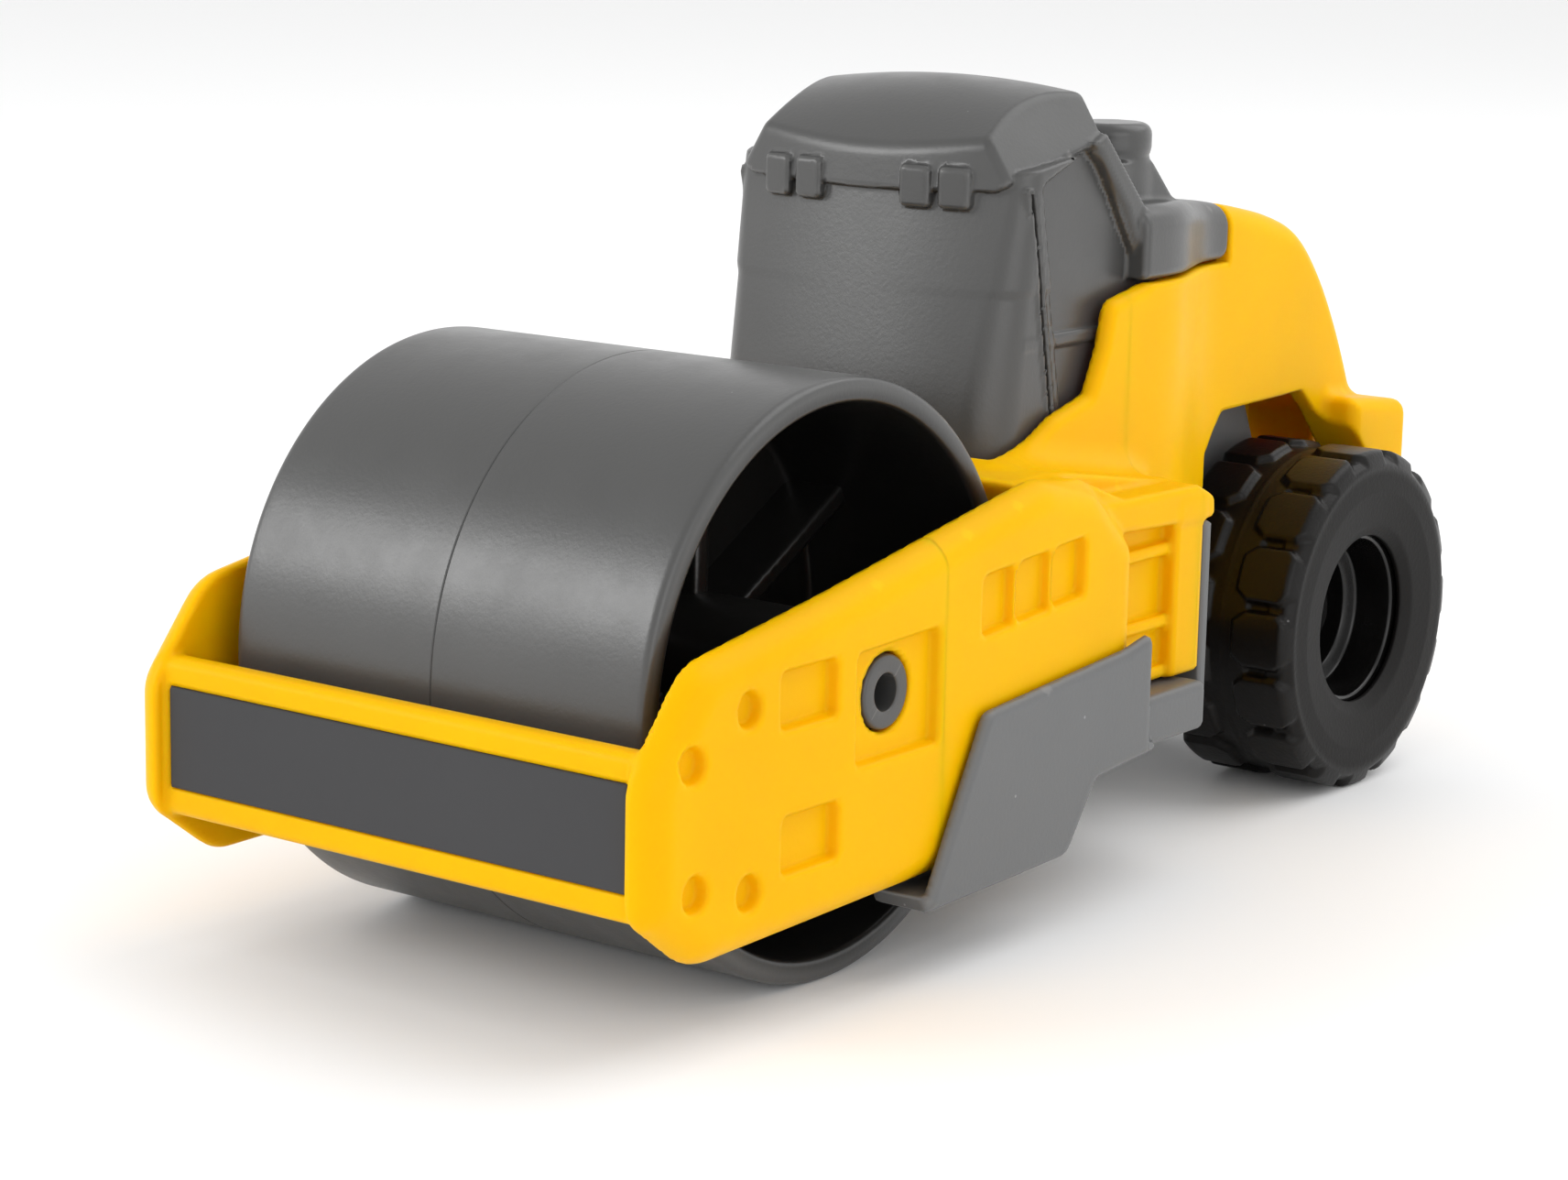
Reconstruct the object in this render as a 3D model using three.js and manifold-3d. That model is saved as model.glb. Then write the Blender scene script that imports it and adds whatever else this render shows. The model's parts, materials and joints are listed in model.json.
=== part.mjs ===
// Toy road roller: a hollow drum carried in a yellow one-piece body, a dark cab moulding,
// a grey chassis screwed on from below, and two soft tyres on a steel rear axle.
// Millimetres. +Z is up, the drum leads towards -Y and +X is the toy's left side.
import * as THREE from 'three';
import { mergeVertices } from 'three/addons/utils/BufferGeometryUtils.js';
import Module from 'manifold-3d';

const wasm = await Module();
wasm.setup();

// ---------- driving dimensions ----------
const drumRadius = 22.5;
const drumHalfWidth = 19.6;
const drumWall = 1.9;
const drumHubRadius = 5;
const drumRibEnd = 7;               // mid-plane to the outer end of the drum's inner ribs
const drumSideGap = 2.8;            // drum to the inside of a side plate
const drumFrontGap = 2.3;           // drum to the crossbar in front of it
const drumRearGap = 1.9;            // drum to the body behind it
const stubRadius = 2.8;             // hollow stub axle that turns in the side plate
const stubBore = 1.4;
const stubRecess = 1;               // stub end below the plate's outer face
const seamGap = 0.3;                // between the two drum halves
const spigotRadius = 2;             // joint between the drum halves
const spigotLength = 3.2;

const wheelbase = 78;               // drum axis to rear axle
const rearOverhang = 18.5;          // rear axle to the back of the bumper
const plateThickness = 2.6;
const plateRound = 2.1;             // rounding of the plates' outer edges
const plateProud = 1;               // plates stand in front of the crossbar
const recessDepth = 1;              // moulded marks in the plates
const barThickness = 2.2;
const shellWall = 1.8;              // wall of the yellow body
const cabWall = 1.6;                // wall of the cab moulding
const chassisWall = 1.6;            // wall of the chassis
const panelThickness = 0.9;         // step panel outside the side plate

const tyreRadius = 15.3;
const tyreInner = 8;                // mid-plane to the inside of a tyre
const tyreOuter = 22.1;             // mid-plane to the outside of a tyre
const tyreBore = 9.6;               // seat on the rim
const tyreRoom = 1.9;               // tyre to the wheel arch
const rimOpening = 7;               // mouth of the rim, seen from outside
const axleRadius = 1.25;
const axleEnd = 15.6;               // mid-plane to the end of the axle

const cabHalfWidth = 14.5;          // at the top of the side windows
const cabSeatHalfWidth = 14.2;      // cab between the flanks of the body
const flankHalfWidth = 15.9;        // body beside the cab
const hoodHalfWidth = 12;           // body above the wheels
const bumperHalfWidth = 15.3;
const hoodRound = 2.4;              // rounding along the top of the hood
const deckTop = 32;                 // deck that the cab stands on
const middleLength = 21.8;          // middle of the body, from the room behind the drum to its back
const saddleLength = 20;            // back of the middle to the back of the cab's dark hood cover
const saddleBottom = 47.8;
const footDrop = 6.2;               // drum axis down to the body's foot, on the chassis ledge
const trayHeight = 4.1;             // chassis tray, from its underside to that ledge
const beamDrop = 5.7;               // rear axle down to the underside of the chassis beam
const intakeRadius = 3.5;
const intakeTop = 60.2;

const gap = 0.3;                    // between pieces that rest on each other
const runGap = 0.2;                 // radial, round a turning shaft
const labelThickness = 0.5;
const screwShank = 1.1;             // radius
const screwHead = 2.1;              // radius
const screwHeadHeight = 1.4;
const towerWall = 1.7;              // wall of the towers that the screws hold in

// ---------- small tools ----------
const toSolid = (geometry) => {
  const plain = geometry.clone();
  plain.deleteAttribute('normal');
  plain.deleteAttribute('uv');
  const merged = mergeVertices(plain, 1e-4);
  const triVerts = Uint32Array.from(merged.index.array);
  const vertProperties = Float32Array.from(merged.attributes.position.array);
  return new wasm.Manifold(new wasm.Mesh({ numProp: 3, vertProperties, triVerts }));
};

const toGeometry = (solid) => {
  const mesh = solid.getMesh();
  const geometry = new THREE.BufferGeometry();
  geometry.setAttribute('position', new THREE.BufferAttribute(Float32Array.from(mesh.vertProperties), 3));
  geometry.setIndex(new THREE.BufferAttribute(Uint32Array.from(mesh.triVerts), 1));
  geometry.computeVertexNormals();
  return geometry;
};

const join = (...solids) => solids.reduce((a, b) => a.add(b));
const cut = (solid, ...tools) => tools.reduce((a, b) => a.subtract(b), solid);

const shapeOf = (points) => new THREE.Shape(points.map(([a, b]) => new THREE.Vector2(a, b)));

// Outline with every corner that carries a third number rounded to that radius.
const rounded = (corners, steps = 3) => {
  const out = [];
  corners.forEach(([a, b, radius], i) => {
    const here = new THREE.Vector2(a, b);
    if (!radius) {
      out.push([a, b]);
      return;
    }
    const before = new THREE.Vector2(...corners[(i + corners.length - 1) % corners.length]);
    const after = new THREE.Vector2(...corners[(i + 1) % corners.length]);
    const toBefore = before.sub(here);
    const toAfter = after.sub(here);
    const wanted = radius / Math.tan(toBefore.angleTo(toAfter) / 2);
    const reach = Math.min(wanted, toBefore.length() * 0.49, toAfter.length() * 0.49);
    const start = here.clone().add(toBefore.setLength(reach));
    const end = here.clone().add(toAfter.setLength(reach));
    const curve = new THREE.QuadraticBezierCurve(start, here, end);
    curve.getPoints(steps).forEach((p) => out.push([p.x, p.y]));
  });
  return out;
};

const extrude = (points, depth, bevel = 0) => new THREE.ExtrudeGeometry(shapeOf(points), {
  depth: depth - 2 * bevel,
  bevelEnabled: bevel > 0,
  bevelThickness: bevel,
  bevelSize: bevel,
  bevelOffset: -bevel,
  bevelSegments: 2,
}).translate(0, 0, bevel);

// A (y, z) outline carried from x0 to x1.
const alongX = (points, x0, x1, bevel = 0) => {
  const cyclic = new THREE.Matrix4().set(0, 0, 1, x0, 1, 0, 0, 0, 0, 1, 0, 0, 0, 0, 0, 1);
  return toSolid(extrude(points, x1 - x0, bevel).applyMatrix4(cyclic));
};

// An (x, y) outline carried from z0 to z1.
const alongZ = (points, z0, z1) => toSolid(extrude(points, z1 - z0).translate(0, 0, z0));

// An (x, z) outline carried from y0 to y1.
const alongY = (points, y0, y1) => {
  const turned = extrude(points, y1 - y0).rotateX(Math.PI / 2).translate(0, y1, 0);
  return toSolid(turned);
};

const box = (x0, x1, y0, y1, z0, z1) => {
  const block = new THREE.BoxGeometry(x1 - x0, y1 - y0, z1 - z0);
  return toSolid(block.translate((x0 + x1) / 2, (y0 + y1) / 2, (z0 + z1) / 2));
};

const upright = (radius, x, y, z0, z1, sides = 20) => {
  const tube = new THREE.CylinderGeometry(radius, radius, z1 - z0, sides);
  return toSolid(tube.rotateX(Math.PI / 2).translate(x, y, (z0 + z1) / 2));
};

// Cylinder along X, with a corner of its polygon straight below the axis.
const crosswise = (radius, x0, x1, y, z, sides = 24) => {
  const tube = new THREE.CylinderGeometry(radius, radius, x1 - x0, sides);
  return toSolid(tube.rotateZ(Math.PI / 2).translate((x0 + x1) / 2, y, z));
};

// Profile of (radius, x) pairs turned about the X axis; it closes on itself or on the axis.
const turnedX = (profile, y, z, sides = 48) => {
  const closing = profile[0][0] > 0 ? [profile[0]] : [];
  const points = [...profile, ...closing].map(([radius, x]) => new THREE.Vector2(radius, x));
  const lathe = new THREE.LatheGeometry(points, sides).rotateZ(-Math.PI / 2);
  return toSolid(lathe.translate(0, y, z));
};

// Closed skin through rings that all have the same number of points.
const loft = (rings) => {
  const count = rings[0].length;
  const positions = rings.flat(2);
  const index = [];
  for (let i = 0; i + 1 < rings.length; i += 1) {
    for (let j = 0; j < count; j += 1) {
      const a = i * count + j;
      const b = i * count + ((j + 1) % count);
      index.push(a, b, b + count, a, b + count, a + count);
    }
  }
  const last = (rings.length - 1) * count;
  for (let j = 1; j + 1 < count; j += 1) {
    index.push(0, j + 1, j, last, last + j, last + j + 1);
  }
  const geometry = new THREE.BufferGeometry();
  geometry.setAttribute('position', new THREE.Float32BufferAttribute(positions, 3));
  geometry.setIndex(index);
  const solid = toSolid(geometry);
  if (solid.volume() > 0) return solid;
  const flipped = [];
  for (let i = 0; i < index.length; i += 3) flipped.push(index[i], index[i + 2], index[i + 1]);
  geometry.setIndex(flipped);
  return toSolid(geometry);
};

const bothSides = (solid) => solid.add(solid.mirror([1, 0, 0]));

// ---------- shared places, with y counted from the drum axis ----------
const plateInner = drumHalfWidth + drumSideGap;
const plateHalfWidth = plateInner + plateThickness;
const axisZ = drumRadius;           // height of the drum axis over the floor
const shelfEnd = drumRadius + drumRearGap + middleLength;
const saddleEnd = shelfEnd + saddleLength;
const bodyFoot = axisZ - footDrop;
const ledgeTop = bodyFoot - gap;
const ledgeBottom = ledgeTop - trayHeight;
const barBack = -drumRadius - drumFrontGap;
const barFront = barBack - barThickness;
const frontReach = plateProud - barFront;
const barBottom = axisZ - 11.7;
const barTop = axisZ + 0.1;
const labelHalfWidth = plateInner - 0.5;
const plateTop = axisZ + 13.1;
const plateRear = shelfEnd - 13;
const bulkhead = shelfEnd + gap;    // front of the chassis bulkhead behind the middle
const middleHalfWidth = plateInner - 2.2;       // back of the side pockets
const shelfHalfWidth = plateHalfWidth - 1.6;
const columnHalfWidth = plateHalfWidth - 1.8;
const trayFront = plateRear + gap;
const trayRear = shelfEnd - 1.8;
const rearReach = wheelbase + rearOverhang;
const axleY = wheelbase;
const axleZ = tyreRadius;
const beamBottom = axleZ - beamDrop;
const archRadius = tyreRadius + tyreRoom;
const archTop = axleZ + archRadius + 2.1;
const bumperTop = archTop - 0.8;
const bumperFront = axleY + 8;
const hoodEnd = rearReach - 4.1;
const beamHalfWidth = tyreInner - 1;            // chassis beam between the wheels
const beamEnd = rearReach - 3.9;
const panelInner = plateHalfWidth + gap;
const panelOuter = panelInner + panelThickness;
const deckBottom = deckTop - shellWall;
const cabFoot = deckTop + gap;
const cabScrews = [[-8, shelfEnd - 8.2], [8, shelfEnd - 8.2]];
const sideTowerX = middleHalfWidth - 6.2;
const sideTowerY = shelfEnd - 5.7;
const bodyScrews = [
  [-sideTowerX, sideTowerY],
  [sideTowerX, sideTowerY],
  [0, saddleEnd + 3.2],
  [0, rearReach - 8.9],
];

// ---------- body, yellow ----------
const plateOutline = () => rounded([
  [-frontReach, axisZ - 1.5, 4],
  [-frontReach, axisZ - 11.3, 3],
  [6.2 - frontReach, axisZ - 15.9, 5],
  [3, axisZ - 15.3],
  [plateRear - 14.7, axisZ - 14.7, 3],
  [plateRear - 8.2, axisZ - 9.1, 3],
  [plateRear, axisZ - 9.1],
  [plateRear, axisZ + 6.5, 2.6],
  [plateRear - 5.6, axisZ + 11.5, 5],
  [plateRear - 13, plateTop, 6],
  [-6.2, axisZ + 8.2],
  [5.6 - frontReach, axisZ + 5.5, 5],
]);

// Marks sunk in the plate's outside: y and z counted from the drum axis.
const squareRecess = (y0, y1, z0, z1) => (
  box(plateHalfWidth - recessDepth, plateHalfWidth + 1, y0, y1, axisZ + z0, axisZ + z1)
);

const dotRecess = (y, z) => (
  crosswise(1.1, plateHalfWidth - recessDepth, plateHalfWidth + 1, y, axisZ + z, 12)
);

const plateMarks = () => [
  dotRecess(10.6 - frontReach, 1.9),
  dotRecess(4.4 - frontReach, -0.9),
  dotRecess(10.8 - frontReach, -11.2),
  dotRecess(4.8 - frontReach, -10),
  ...[0, 4.7, 9.6].map((y) => (
    squareRecess(plateRear - 22 + y, plateRear - 18.1 + y, 2.6 + y * 0.08, 6.8 + y * 0.08)
  )),
  squareRecess(14.4 - frontReach, 20.6 - frontReach, -0.1, 3.7),
  squareRecess(14.8 - frontReach, 21 - frontReach, -10.6, -6.8),
  squareRecess(-4.6, 5.2, -4.3, 3.9),
];

const sidePlate = () => {
  const plate = alongX(plateOutline(), plateInner - 4, plateHalfWidth, plateRound);
  const trimmed = cut(plate, box(plateInner - 5, plateInner, -40, 40, 0, 50));
  const bearing = crosswise(stubRadius + runGap, plateInner - 1, plateHalfWidth + 1, 0, axisZ, 32);
  return cut(trimmed, ...plateMarks(), bearing);
};

const crossbar = () => {
  const outline = rounded([
    [barFront, barBottom, 1],
    [barBack, barBottom, 0.8],
    [barBack, barTop, 0.8],
    [barFront, barTop, 1],
  ]);
  const bar = alongX(outline, -plateInner - 0.2, plateInner + 0.2);
  const labelBack = barFront + labelThickness - 0.1;
  const seatX = labelHalfWidth + gap;
  const seat = box(-seatX, seatX, barFront - 1, labelBack, barBottom + 1.7, barTop - 1.9);
  return cut(bar, seat);
};

// Quarter ring behind the drum, from the deck down to the foot, as a (y, z) line.
const drumArc = (radius, fromZ, toZ) => {
  const points = [];
  const steps = 8;
  for (let i = 0; i <= steps; i += 1) {
    const z = fromZ + ((toZ - fromZ) * i) / steps - axisZ;
    points.push([Math.sqrt(radius * radius - z * z), z + axisZ]);
  }
  return points;
};

const middleOuter = () => {
  const front = drumRadius + drumRearGap;
  const brow = front + 2.4;
  const arc = drumArc(front, bodyFoot, deckTop + 2.2);
  const sides = [...arc, [brow, deckTop + 2.6], [plateRear - 3.2, deckTop + 1.4], [plateRear - 0.2, deckTop],
    [plateRear - 0.2, bodyFoot]];
  const core = [...arc, [brow + 0.2, deckTop + 2.6], [brow + 2.2, deckTop + 2.6], [shelfEnd - 1.4, deckTop],
    [shelfEnd, deckTop - 0.6], [shelfEnd, bodyFoot]];
  const flare = [[-0.9, -2], [5.9, -1], [4.1, 0.4], [1.9, 1.6], [0.5, 3.4], [-0.5, 5.4]];
  const flareOutline = flare.map(([x, z]) => [flankHalfWidth + x, deckTop + z]);
  return join(
    alongX(core, -middleHalfWidth, middleHalfWidth),
    alongX(sides, -plateInner - 0.2, plateInner + 0.2),
    bothSides(alongY(flareOutline, brow + 1.2, shelfEnd - 1.2)),
  );
};

const middleHollow = () => {
  const arc = drumArc(drumRadius + drumRearGap + shellWall, bodyFoot - 4, deckBottom);
  const rear = shelfEnd - shellWall;
  const span = middleHalfWidth - shellWall;
  const outline = [...arc, [plateRear - 3.2, deckBottom], [rear, deckBottom], [rear, bodyFoot - 4]];
  return alongX(outline, -span, span);
};

// Side pocket behind the plate: shelf with a turned-down lip, column, ribs and foot.
const pocketFrame = () => {
  const inner = plateRear - 3.2;
  const shelf = rounded([
    [inner, deckTop - 2.4],
    [shelfEnd - 0.8, deckTop - 3.1],
    [shelfEnd + 1.2, deckTop - 3, 0.5],
    [shelfEnd + 1.1, deckTop - 1.3, 0.8],
    [shelfEnd - 1.5, deckTop - 0.1, 1],
    [inner, deckTop + 0.3],
  ]);
  const from = middleHalfWidth - 0.4;
  const ribs = [[26.5, 27.6], [20.5, 21.6], [bodyFoot, bodyFoot + 1.1]].map(([low, high]) => (
    box(from, plateInner + 0.2, plateRear - 2.2, shelfEnd - 4.2, low, high)
  ));
  return bothSides(join(
    alongX(shelf, from, shelfHalfWidth),
    box(from, columnHalfWidth, shelfEnd - 4.6, shelfEnd - 0.2, bodyFoot, deckTop - 2),
    ...ribs,
  ));
};

// Arch ring across the body at one y: straight sides, rounded top corners.
const hoodRing = (y, halfWidth, top, corner, bottom) => {
  const ring = [[-halfWidth, y, bottom], [halfWidth, y, bottom]];
  const steps = 4;
  const inX = halfWidth - corner;
  const inZ = top - corner;
  for (let i = 0; i <= steps; i += 1) {
    const a = (i / steps) * (Math.PI / 2);
    ring.push([inX + corner * Math.cos(a), y, inZ + corner * Math.sin(a)]);
  }
  for (let i = steps; i >= 0; i -= 1) {
    const a = (i / steps) * (Math.PI / 2);
    ring.push([-inX - corner * Math.cos(a), y, inZ + corner * Math.sin(a)]);
  }
  return ring;
};

// Place behind the cab's hood cover, as a share of the way to the back of the bumper.
const alongTail = (share) => saddleEnd + share * (rearReach - saddleEnd);

const hoodStations = () => [
  [shelfEnd - 19.4, flankHalfWidth, 53.9],
  [shelfEnd + 1.8, flankHalfWidth, 53.9],
  [shelfEnd + 7.8, flankHalfWidth - 0.4, 53.8],
  [shelfEnd + 12.3, flankHalfWidth - 2.2, 53.4],
  [saddleEnd - 2.2, hoodHalfWidth + 0.2, 52.9],
  [alongTail(0.14), hoodHalfWidth, 52],
  [alongTail(0.437), hoodHalfWidth, 50.2],
  [alongTail(0.547), hoodHalfWidth - 0.1, 47.8],
  [alongTail(0.64), hoodHalfWidth - 0.1, 45],
  [alongTail(0.744), hoodHalfWidth - 0.2, Math.max(40.8, bumperTop + 3)],
  [alongTail(0.815), hoodHalfWidth - 0.2, Math.max(36.9, bumperTop + 1)],
  [alongTail(0.87), hoodHalfWidth - 0.3, bumperTop - 0.2],
];

const hoodLoft = (inset, bottom) => {
  const stations = hoodStations();
  return loft(stations.map(([y, halfWidth, top], i) => {
    const end = i === stations.length - 1 ? -inset : 0;
    return hoodRing(y + end, halfWidth - inset, top - inset, hoodRound - inset * 0.6, bottom);
  }));
};

// Side view of the flank and hood, above the pocket and in front of the bumper.
const flankOutline = () => rounded([
  [shelfEnd - 19.4, 29],
  [shelfEnd + 2.3, 29],
  [shelfEnd + 2.3, bodyFoot],
  [axleY - 15.5, bodyFoot],
  [hoodEnd, bodyFoot + 9],
  [hoodEnd, bumperTop + 2.2],
  [hoodEnd - 3.9, 56],
  [shelfEnd + 2.3, 56],
  [shelfEnd + 2.3, 47.6, 1],
  [shelfEnd - 3.8, 46.4, 1.4],
  [shelfEnd - 4.7, 42.8, 1],
  [shelfEnd - 6.5, 39.1, 1],
  [shelfEnd - 11.6, 37.8, 1.5],
  [shelfEnd - 15.4, 35.9, 1],
  [shelfEnd - 17.2, 34.7],
  [shelfEnd - 19.4, 34.6],
]);

// Room for the tyres and the straight-edged arch above them, as a (y, z) outline.
const archOutline = () => {
  const points = [];
  const steps = 8;
  for (let i = 0; i <= steps; i += 1) {
    const a = Math.PI * (1.12 - (i / steps) * 0.34);
    points.push([axleY + archRadius * Math.cos(a), axleZ + archRadius * Math.sin(a)]);
  }
  return [
    ...points,
    [axleY - archRadius * 0.779, archTop - 3.8],
    [axleY - archRadius * 0.628, archTop - 0.3],
    [axleY + 4, archTop],
    [axleY + archRadius * 0.442, archTop - 2.9],
    [axleY + archRadius * 0.523, archTop - 4.8],
    [axleY + archRadius * 0.6, archTop - 5.8],
    [axleY + archRadius * 0.84, archTop - 9.6],
    [rearReach + 2, archTop - 10.2],
    [rearReach + 2, 0],
    [axleY - 14, 0],
  ];
};

const bumper = () => {
  const outline = rounded([
    [bumperFront, bumperTop - 9.8],
    [rearReach, bumperTop - 9.8],
    [rearReach, bumperTop - 1.2, 1.6],
    [bumperFront, bumperTop],
  ]);
  const innerX = bumperHalfWidth - shellWall;
  return cut(
    alongX(outline, -bumperHalfWidth, bumperHalfWidth, 1),
    box(-innerX, innerX, bumperFront + shellWall, rearReach - shellWall, 20, bumperTop - 1 - shellWall),
  );
};

const towerFoot = (x) => (x === 0 ? beamBottom : ledgeBottom) + chassisWall + gap;
const screwTower = ([x, y], top) => upright(screwShank + towerWall, x, y, towerFoot(x), top);

const bodyShell = () => {
  const upper = hoodLoft(0, bodyFoot).intersect(alongX(flankOutline(), -40, 40));
  const outer = join(upper, middleOuter(), pocketFrame(), bumper());
  const notchFront = shelfEnd + 2;
  const saddleNotch = box(-20, 20, notchFront, saddleEnd + gap, saddleBottom - gap, 60);
  const seatX = cabSeatHalfWidth + gap;
  const cabSeat = box(-seatX, seatX, shelfEnd - 18.9, shelfEnd + 4.8, deckTop, 60);
  const hoodHollow = cut(hoodLoft(shellWall, 8), box(-30, 30, 20, shelfEnd, 0, 60));
  const arch = alongX(archOutline(), -30, 30);
  const deckOpening = box(-6, 6, shelfEnd - 15.2, shelfEnd - 2.2, 20, 40);
  const skin = cut(outer, middleHollow(), cabSeat, deckOpening, saddleNotch, hoodHollow, arch);
  const wallFront = beamEnd + gap;
  const wallBack = wallFront + shellWall;
  const rearWall = box(-beamHalfWidth, beamHalfWidth, wallFront, wallBack, bodyFoot - 2, bumperTop - 3.3);
  const seatHalf = cabSeatHalfWidth;
  const seatWall = box(-seatHalf, seatHalf, shelfEnd - shellWall, shelfEnd, bodyFoot, deckTop);
  const towers = bodyScrews.map((place) => screwTower(place, place[0] === 0 ? 56 : deckBottom + 0.5));
  const sideRoom = box(-sideTowerX - 4, sideTowerX + 4, sideTowerY - 4.5, sideTowerY + 4.5, 10, 31);
  const inside = join(...towers).intersect(join(hoodLoft(shellWall * 0.5, 8), middleHollow(), sideRoom));
  const bores = bodyScrews.map(([x, y]) => upright(screwShank + 0.15, x, y, 0, towerFoot(x) + 8, 12));
  const cabHoles = cabScrews.map(([x, y]) => upright(screwShank + 0.3, x, y, 20, 40, 12));
  const shell = join(skin, rearWall, seatWall, inside, bothSides(sidePlate()), crossbar());
  return cut(shell, ...bores, ...cabHoles);
};

// ---------- cab moulding, dark grey ----------
// Plan of the cab at one height: bowed windscreen, rounded front corners, flat back.
const cabRing = (z, halfWidth, front, bow, rear) => {
  const ring = [[-halfWidth, rear - 1.2, z], [-halfWidth + 1.2, rear, z]];
  ring.push([halfWidth - 1.2, rear, z], [halfWidth, rear - 1.2, z]);
  ring.push([halfWidth, front + 1.6, z], [halfWidth - 0.5, front + 0.3, z]);
  const steps = 6;
  for (let i = 0; i <= steps; i += 1) {
    const x = (halfWidth - 1.6) * (1 - (2 * i) / steps);
    ring.push([x, front - bow * (1 - (x / halfWidth) ** 2), z]);
  }
  ring.push([-halfWidth + 0.5, front + 0.3, z], [-halfWidth, front + 1.6, z]);
  return ring;
};

const cabStations = () => [
  [cabFoot, cabSeatHalfWidth, shelfEnd - 18, 0.3, shelfEnd + 0.4],
  [34.5, cabSeatHalfWidth, shelfEnd - 18, 0.8, shelfEnd + 1.4],
  [37.5, cabSeatHalfWidth + 0.05, shelfEnd - 17.4, 1.8, shelfEnd + 3.8],
  [47.6, cabSeatHalfWidth + 0.2, shelfEnd - 16, 2, shelfEnd + 3.4],
  [48, cabHalfWidth - 0.2, shelfEnd - 15.9, 2, shelfEnd + 3.2],
  [56, cabHalfWidth, shelfEnd - 14.7, 2, shelfEnd - 1.2],
  [56.3, cabHalfWidth + 0.3, shelfEnd - 15.2, 2, shelfEnd - 1.4],
  [58.8, cabHalfWidth - 0.7, shelfEnd - 15.2, 2, shelfEnd - 2.8],
  [60.6, 12.7, shelfEnd - 14.4, 1.8, shelfEnd - 3.5],
  [62.3, 10.7, shelfEnd - 12.6, 1.5, shelfEnd - 4],
  [63.6, 7.8, shelfEnd - 10.2, 1, shelfEnd - 4.2],
  [64.2, 4.4, shelfEnd - 8.2, 0.6, shelfEnd - 4.4],
];

const cabLoft = (inset) => {
  const stations = cabStations();
  return loft(stations.map(([z, halfWidth, front, bow, rear], i) => {
    const lift = i === 0 ? -3 * Math.sign(inset) : -inset;
    return cabRing(z + lift, halfWidth - inset, front + inset, bow, rear - inset);
  }));
};

const sideWindow = () => {
  const outline = rounded([
    [shelfEnd - 12.2, 44.3, 0.6],
    [shelfEnd - 2.6, 44.3],
    [shelfEnd + 1.4, 49],
    [shelfEnd - 3, 56.6, 1.2],
    [shelfEnd - 5.9, 58, 0.8],
    [shelfEnd - 13.6, 56.4, 0.6],
  ]);
  return bothSides(alongX(outline, cabSeatHalfWidth - 0.3, 20));
};

const lightPods = () => {
  const pods = [3.9, 7.3].map((x) => box(x, x + 2.9, shelfEnd - 18.2, shelfEnd - 15.2, 54.4, 57.6));
  return bothSides(join(...pods));
};

// Hood cover: the hood's own skin carried forward to the cab as part of the cab moulding.
const saddle = () => {
  const span = alongX(rounded([
    [shelfEnd + 1.2, saddleBottom],
    [saddleEnd, saddleBottom, 1],
    [saddleEnd, 60],
    [shelfEnd + 1.2, 60],
  ]), -30, 30);
  return cut(hoodLoft(0, bodyFoot), hoodLoft(cabWall, 8)).intersect(span);
};

const intake = () => {
  const x = 8.5;
  const y = shelfEnd + 6.4;
  const profile = [
    [0, 50],
    [intakeRadius, 50],
    [intakeRadius, intakeTop - 1.2],
    [intakeRadius - 0.6, intakeTop - 0.4],
    [intakeRadius - 1.9, intakeTop],
    [0, intakeTop],
  ];
  const points = profile.map(([radius, z]) => new THREE.Vector2(radius, z));
  const barrel = toSolid(new THREE.LatheGeometry(points, 24).rotateX(Math.PI / 2).translate(x, y, 0));
  const block = rounded([
    [shelfEnd - 0.2, 52],
    [saddleEnd - 6.2, 52],
    [saddleEnd - 6.2, 53.2],
    [shelfEnd + 10, 55.6, 1],
    [shelfEnd + 6.8, 56.6],
    [shelfEnd - 0.2, 56.6],
  ]);
  return join(barrel, alongX(block, 5, 11.8));
};

const cab = () => {
  const skin = cut(cabLoft(0), sideWindow());
  const behind = cut(intake(), hoodLoft(cabWall * 0.7, 8));
  const barX = cabSeatHalfWidth + 0.1;
  const bar = bothSides(box(barX - 1.1, barX, shelfEnd - 11.7, shelfEnd - 4.8, 43, 44.4));
  const outer = join(skin, saddle(), behind, lightPods(), bar);
  const hollow = cut(cabLoft(cabWall), box(-30, 30, 20, 50, 0, 20));
  const bosses = cabScrews.map(([x, y]) => (
    join(upright(screwShank + towerWall, x, y, cabFoot, 58), box(x - 0.7, x + 0.7, y, shelfEnd + 3.3, 50, 58))
  ));
  const inside = join(...bosses).intersect(cabLoft(cabWall * 0.5));
  const bores = cabScrews.map(([x, y]) => upright(screwShank + 0.15, x, y, 20, cabFoot + 8, 12));
  return cut(join(cut(outer, hollow), inside), ...bores);
};

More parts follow.
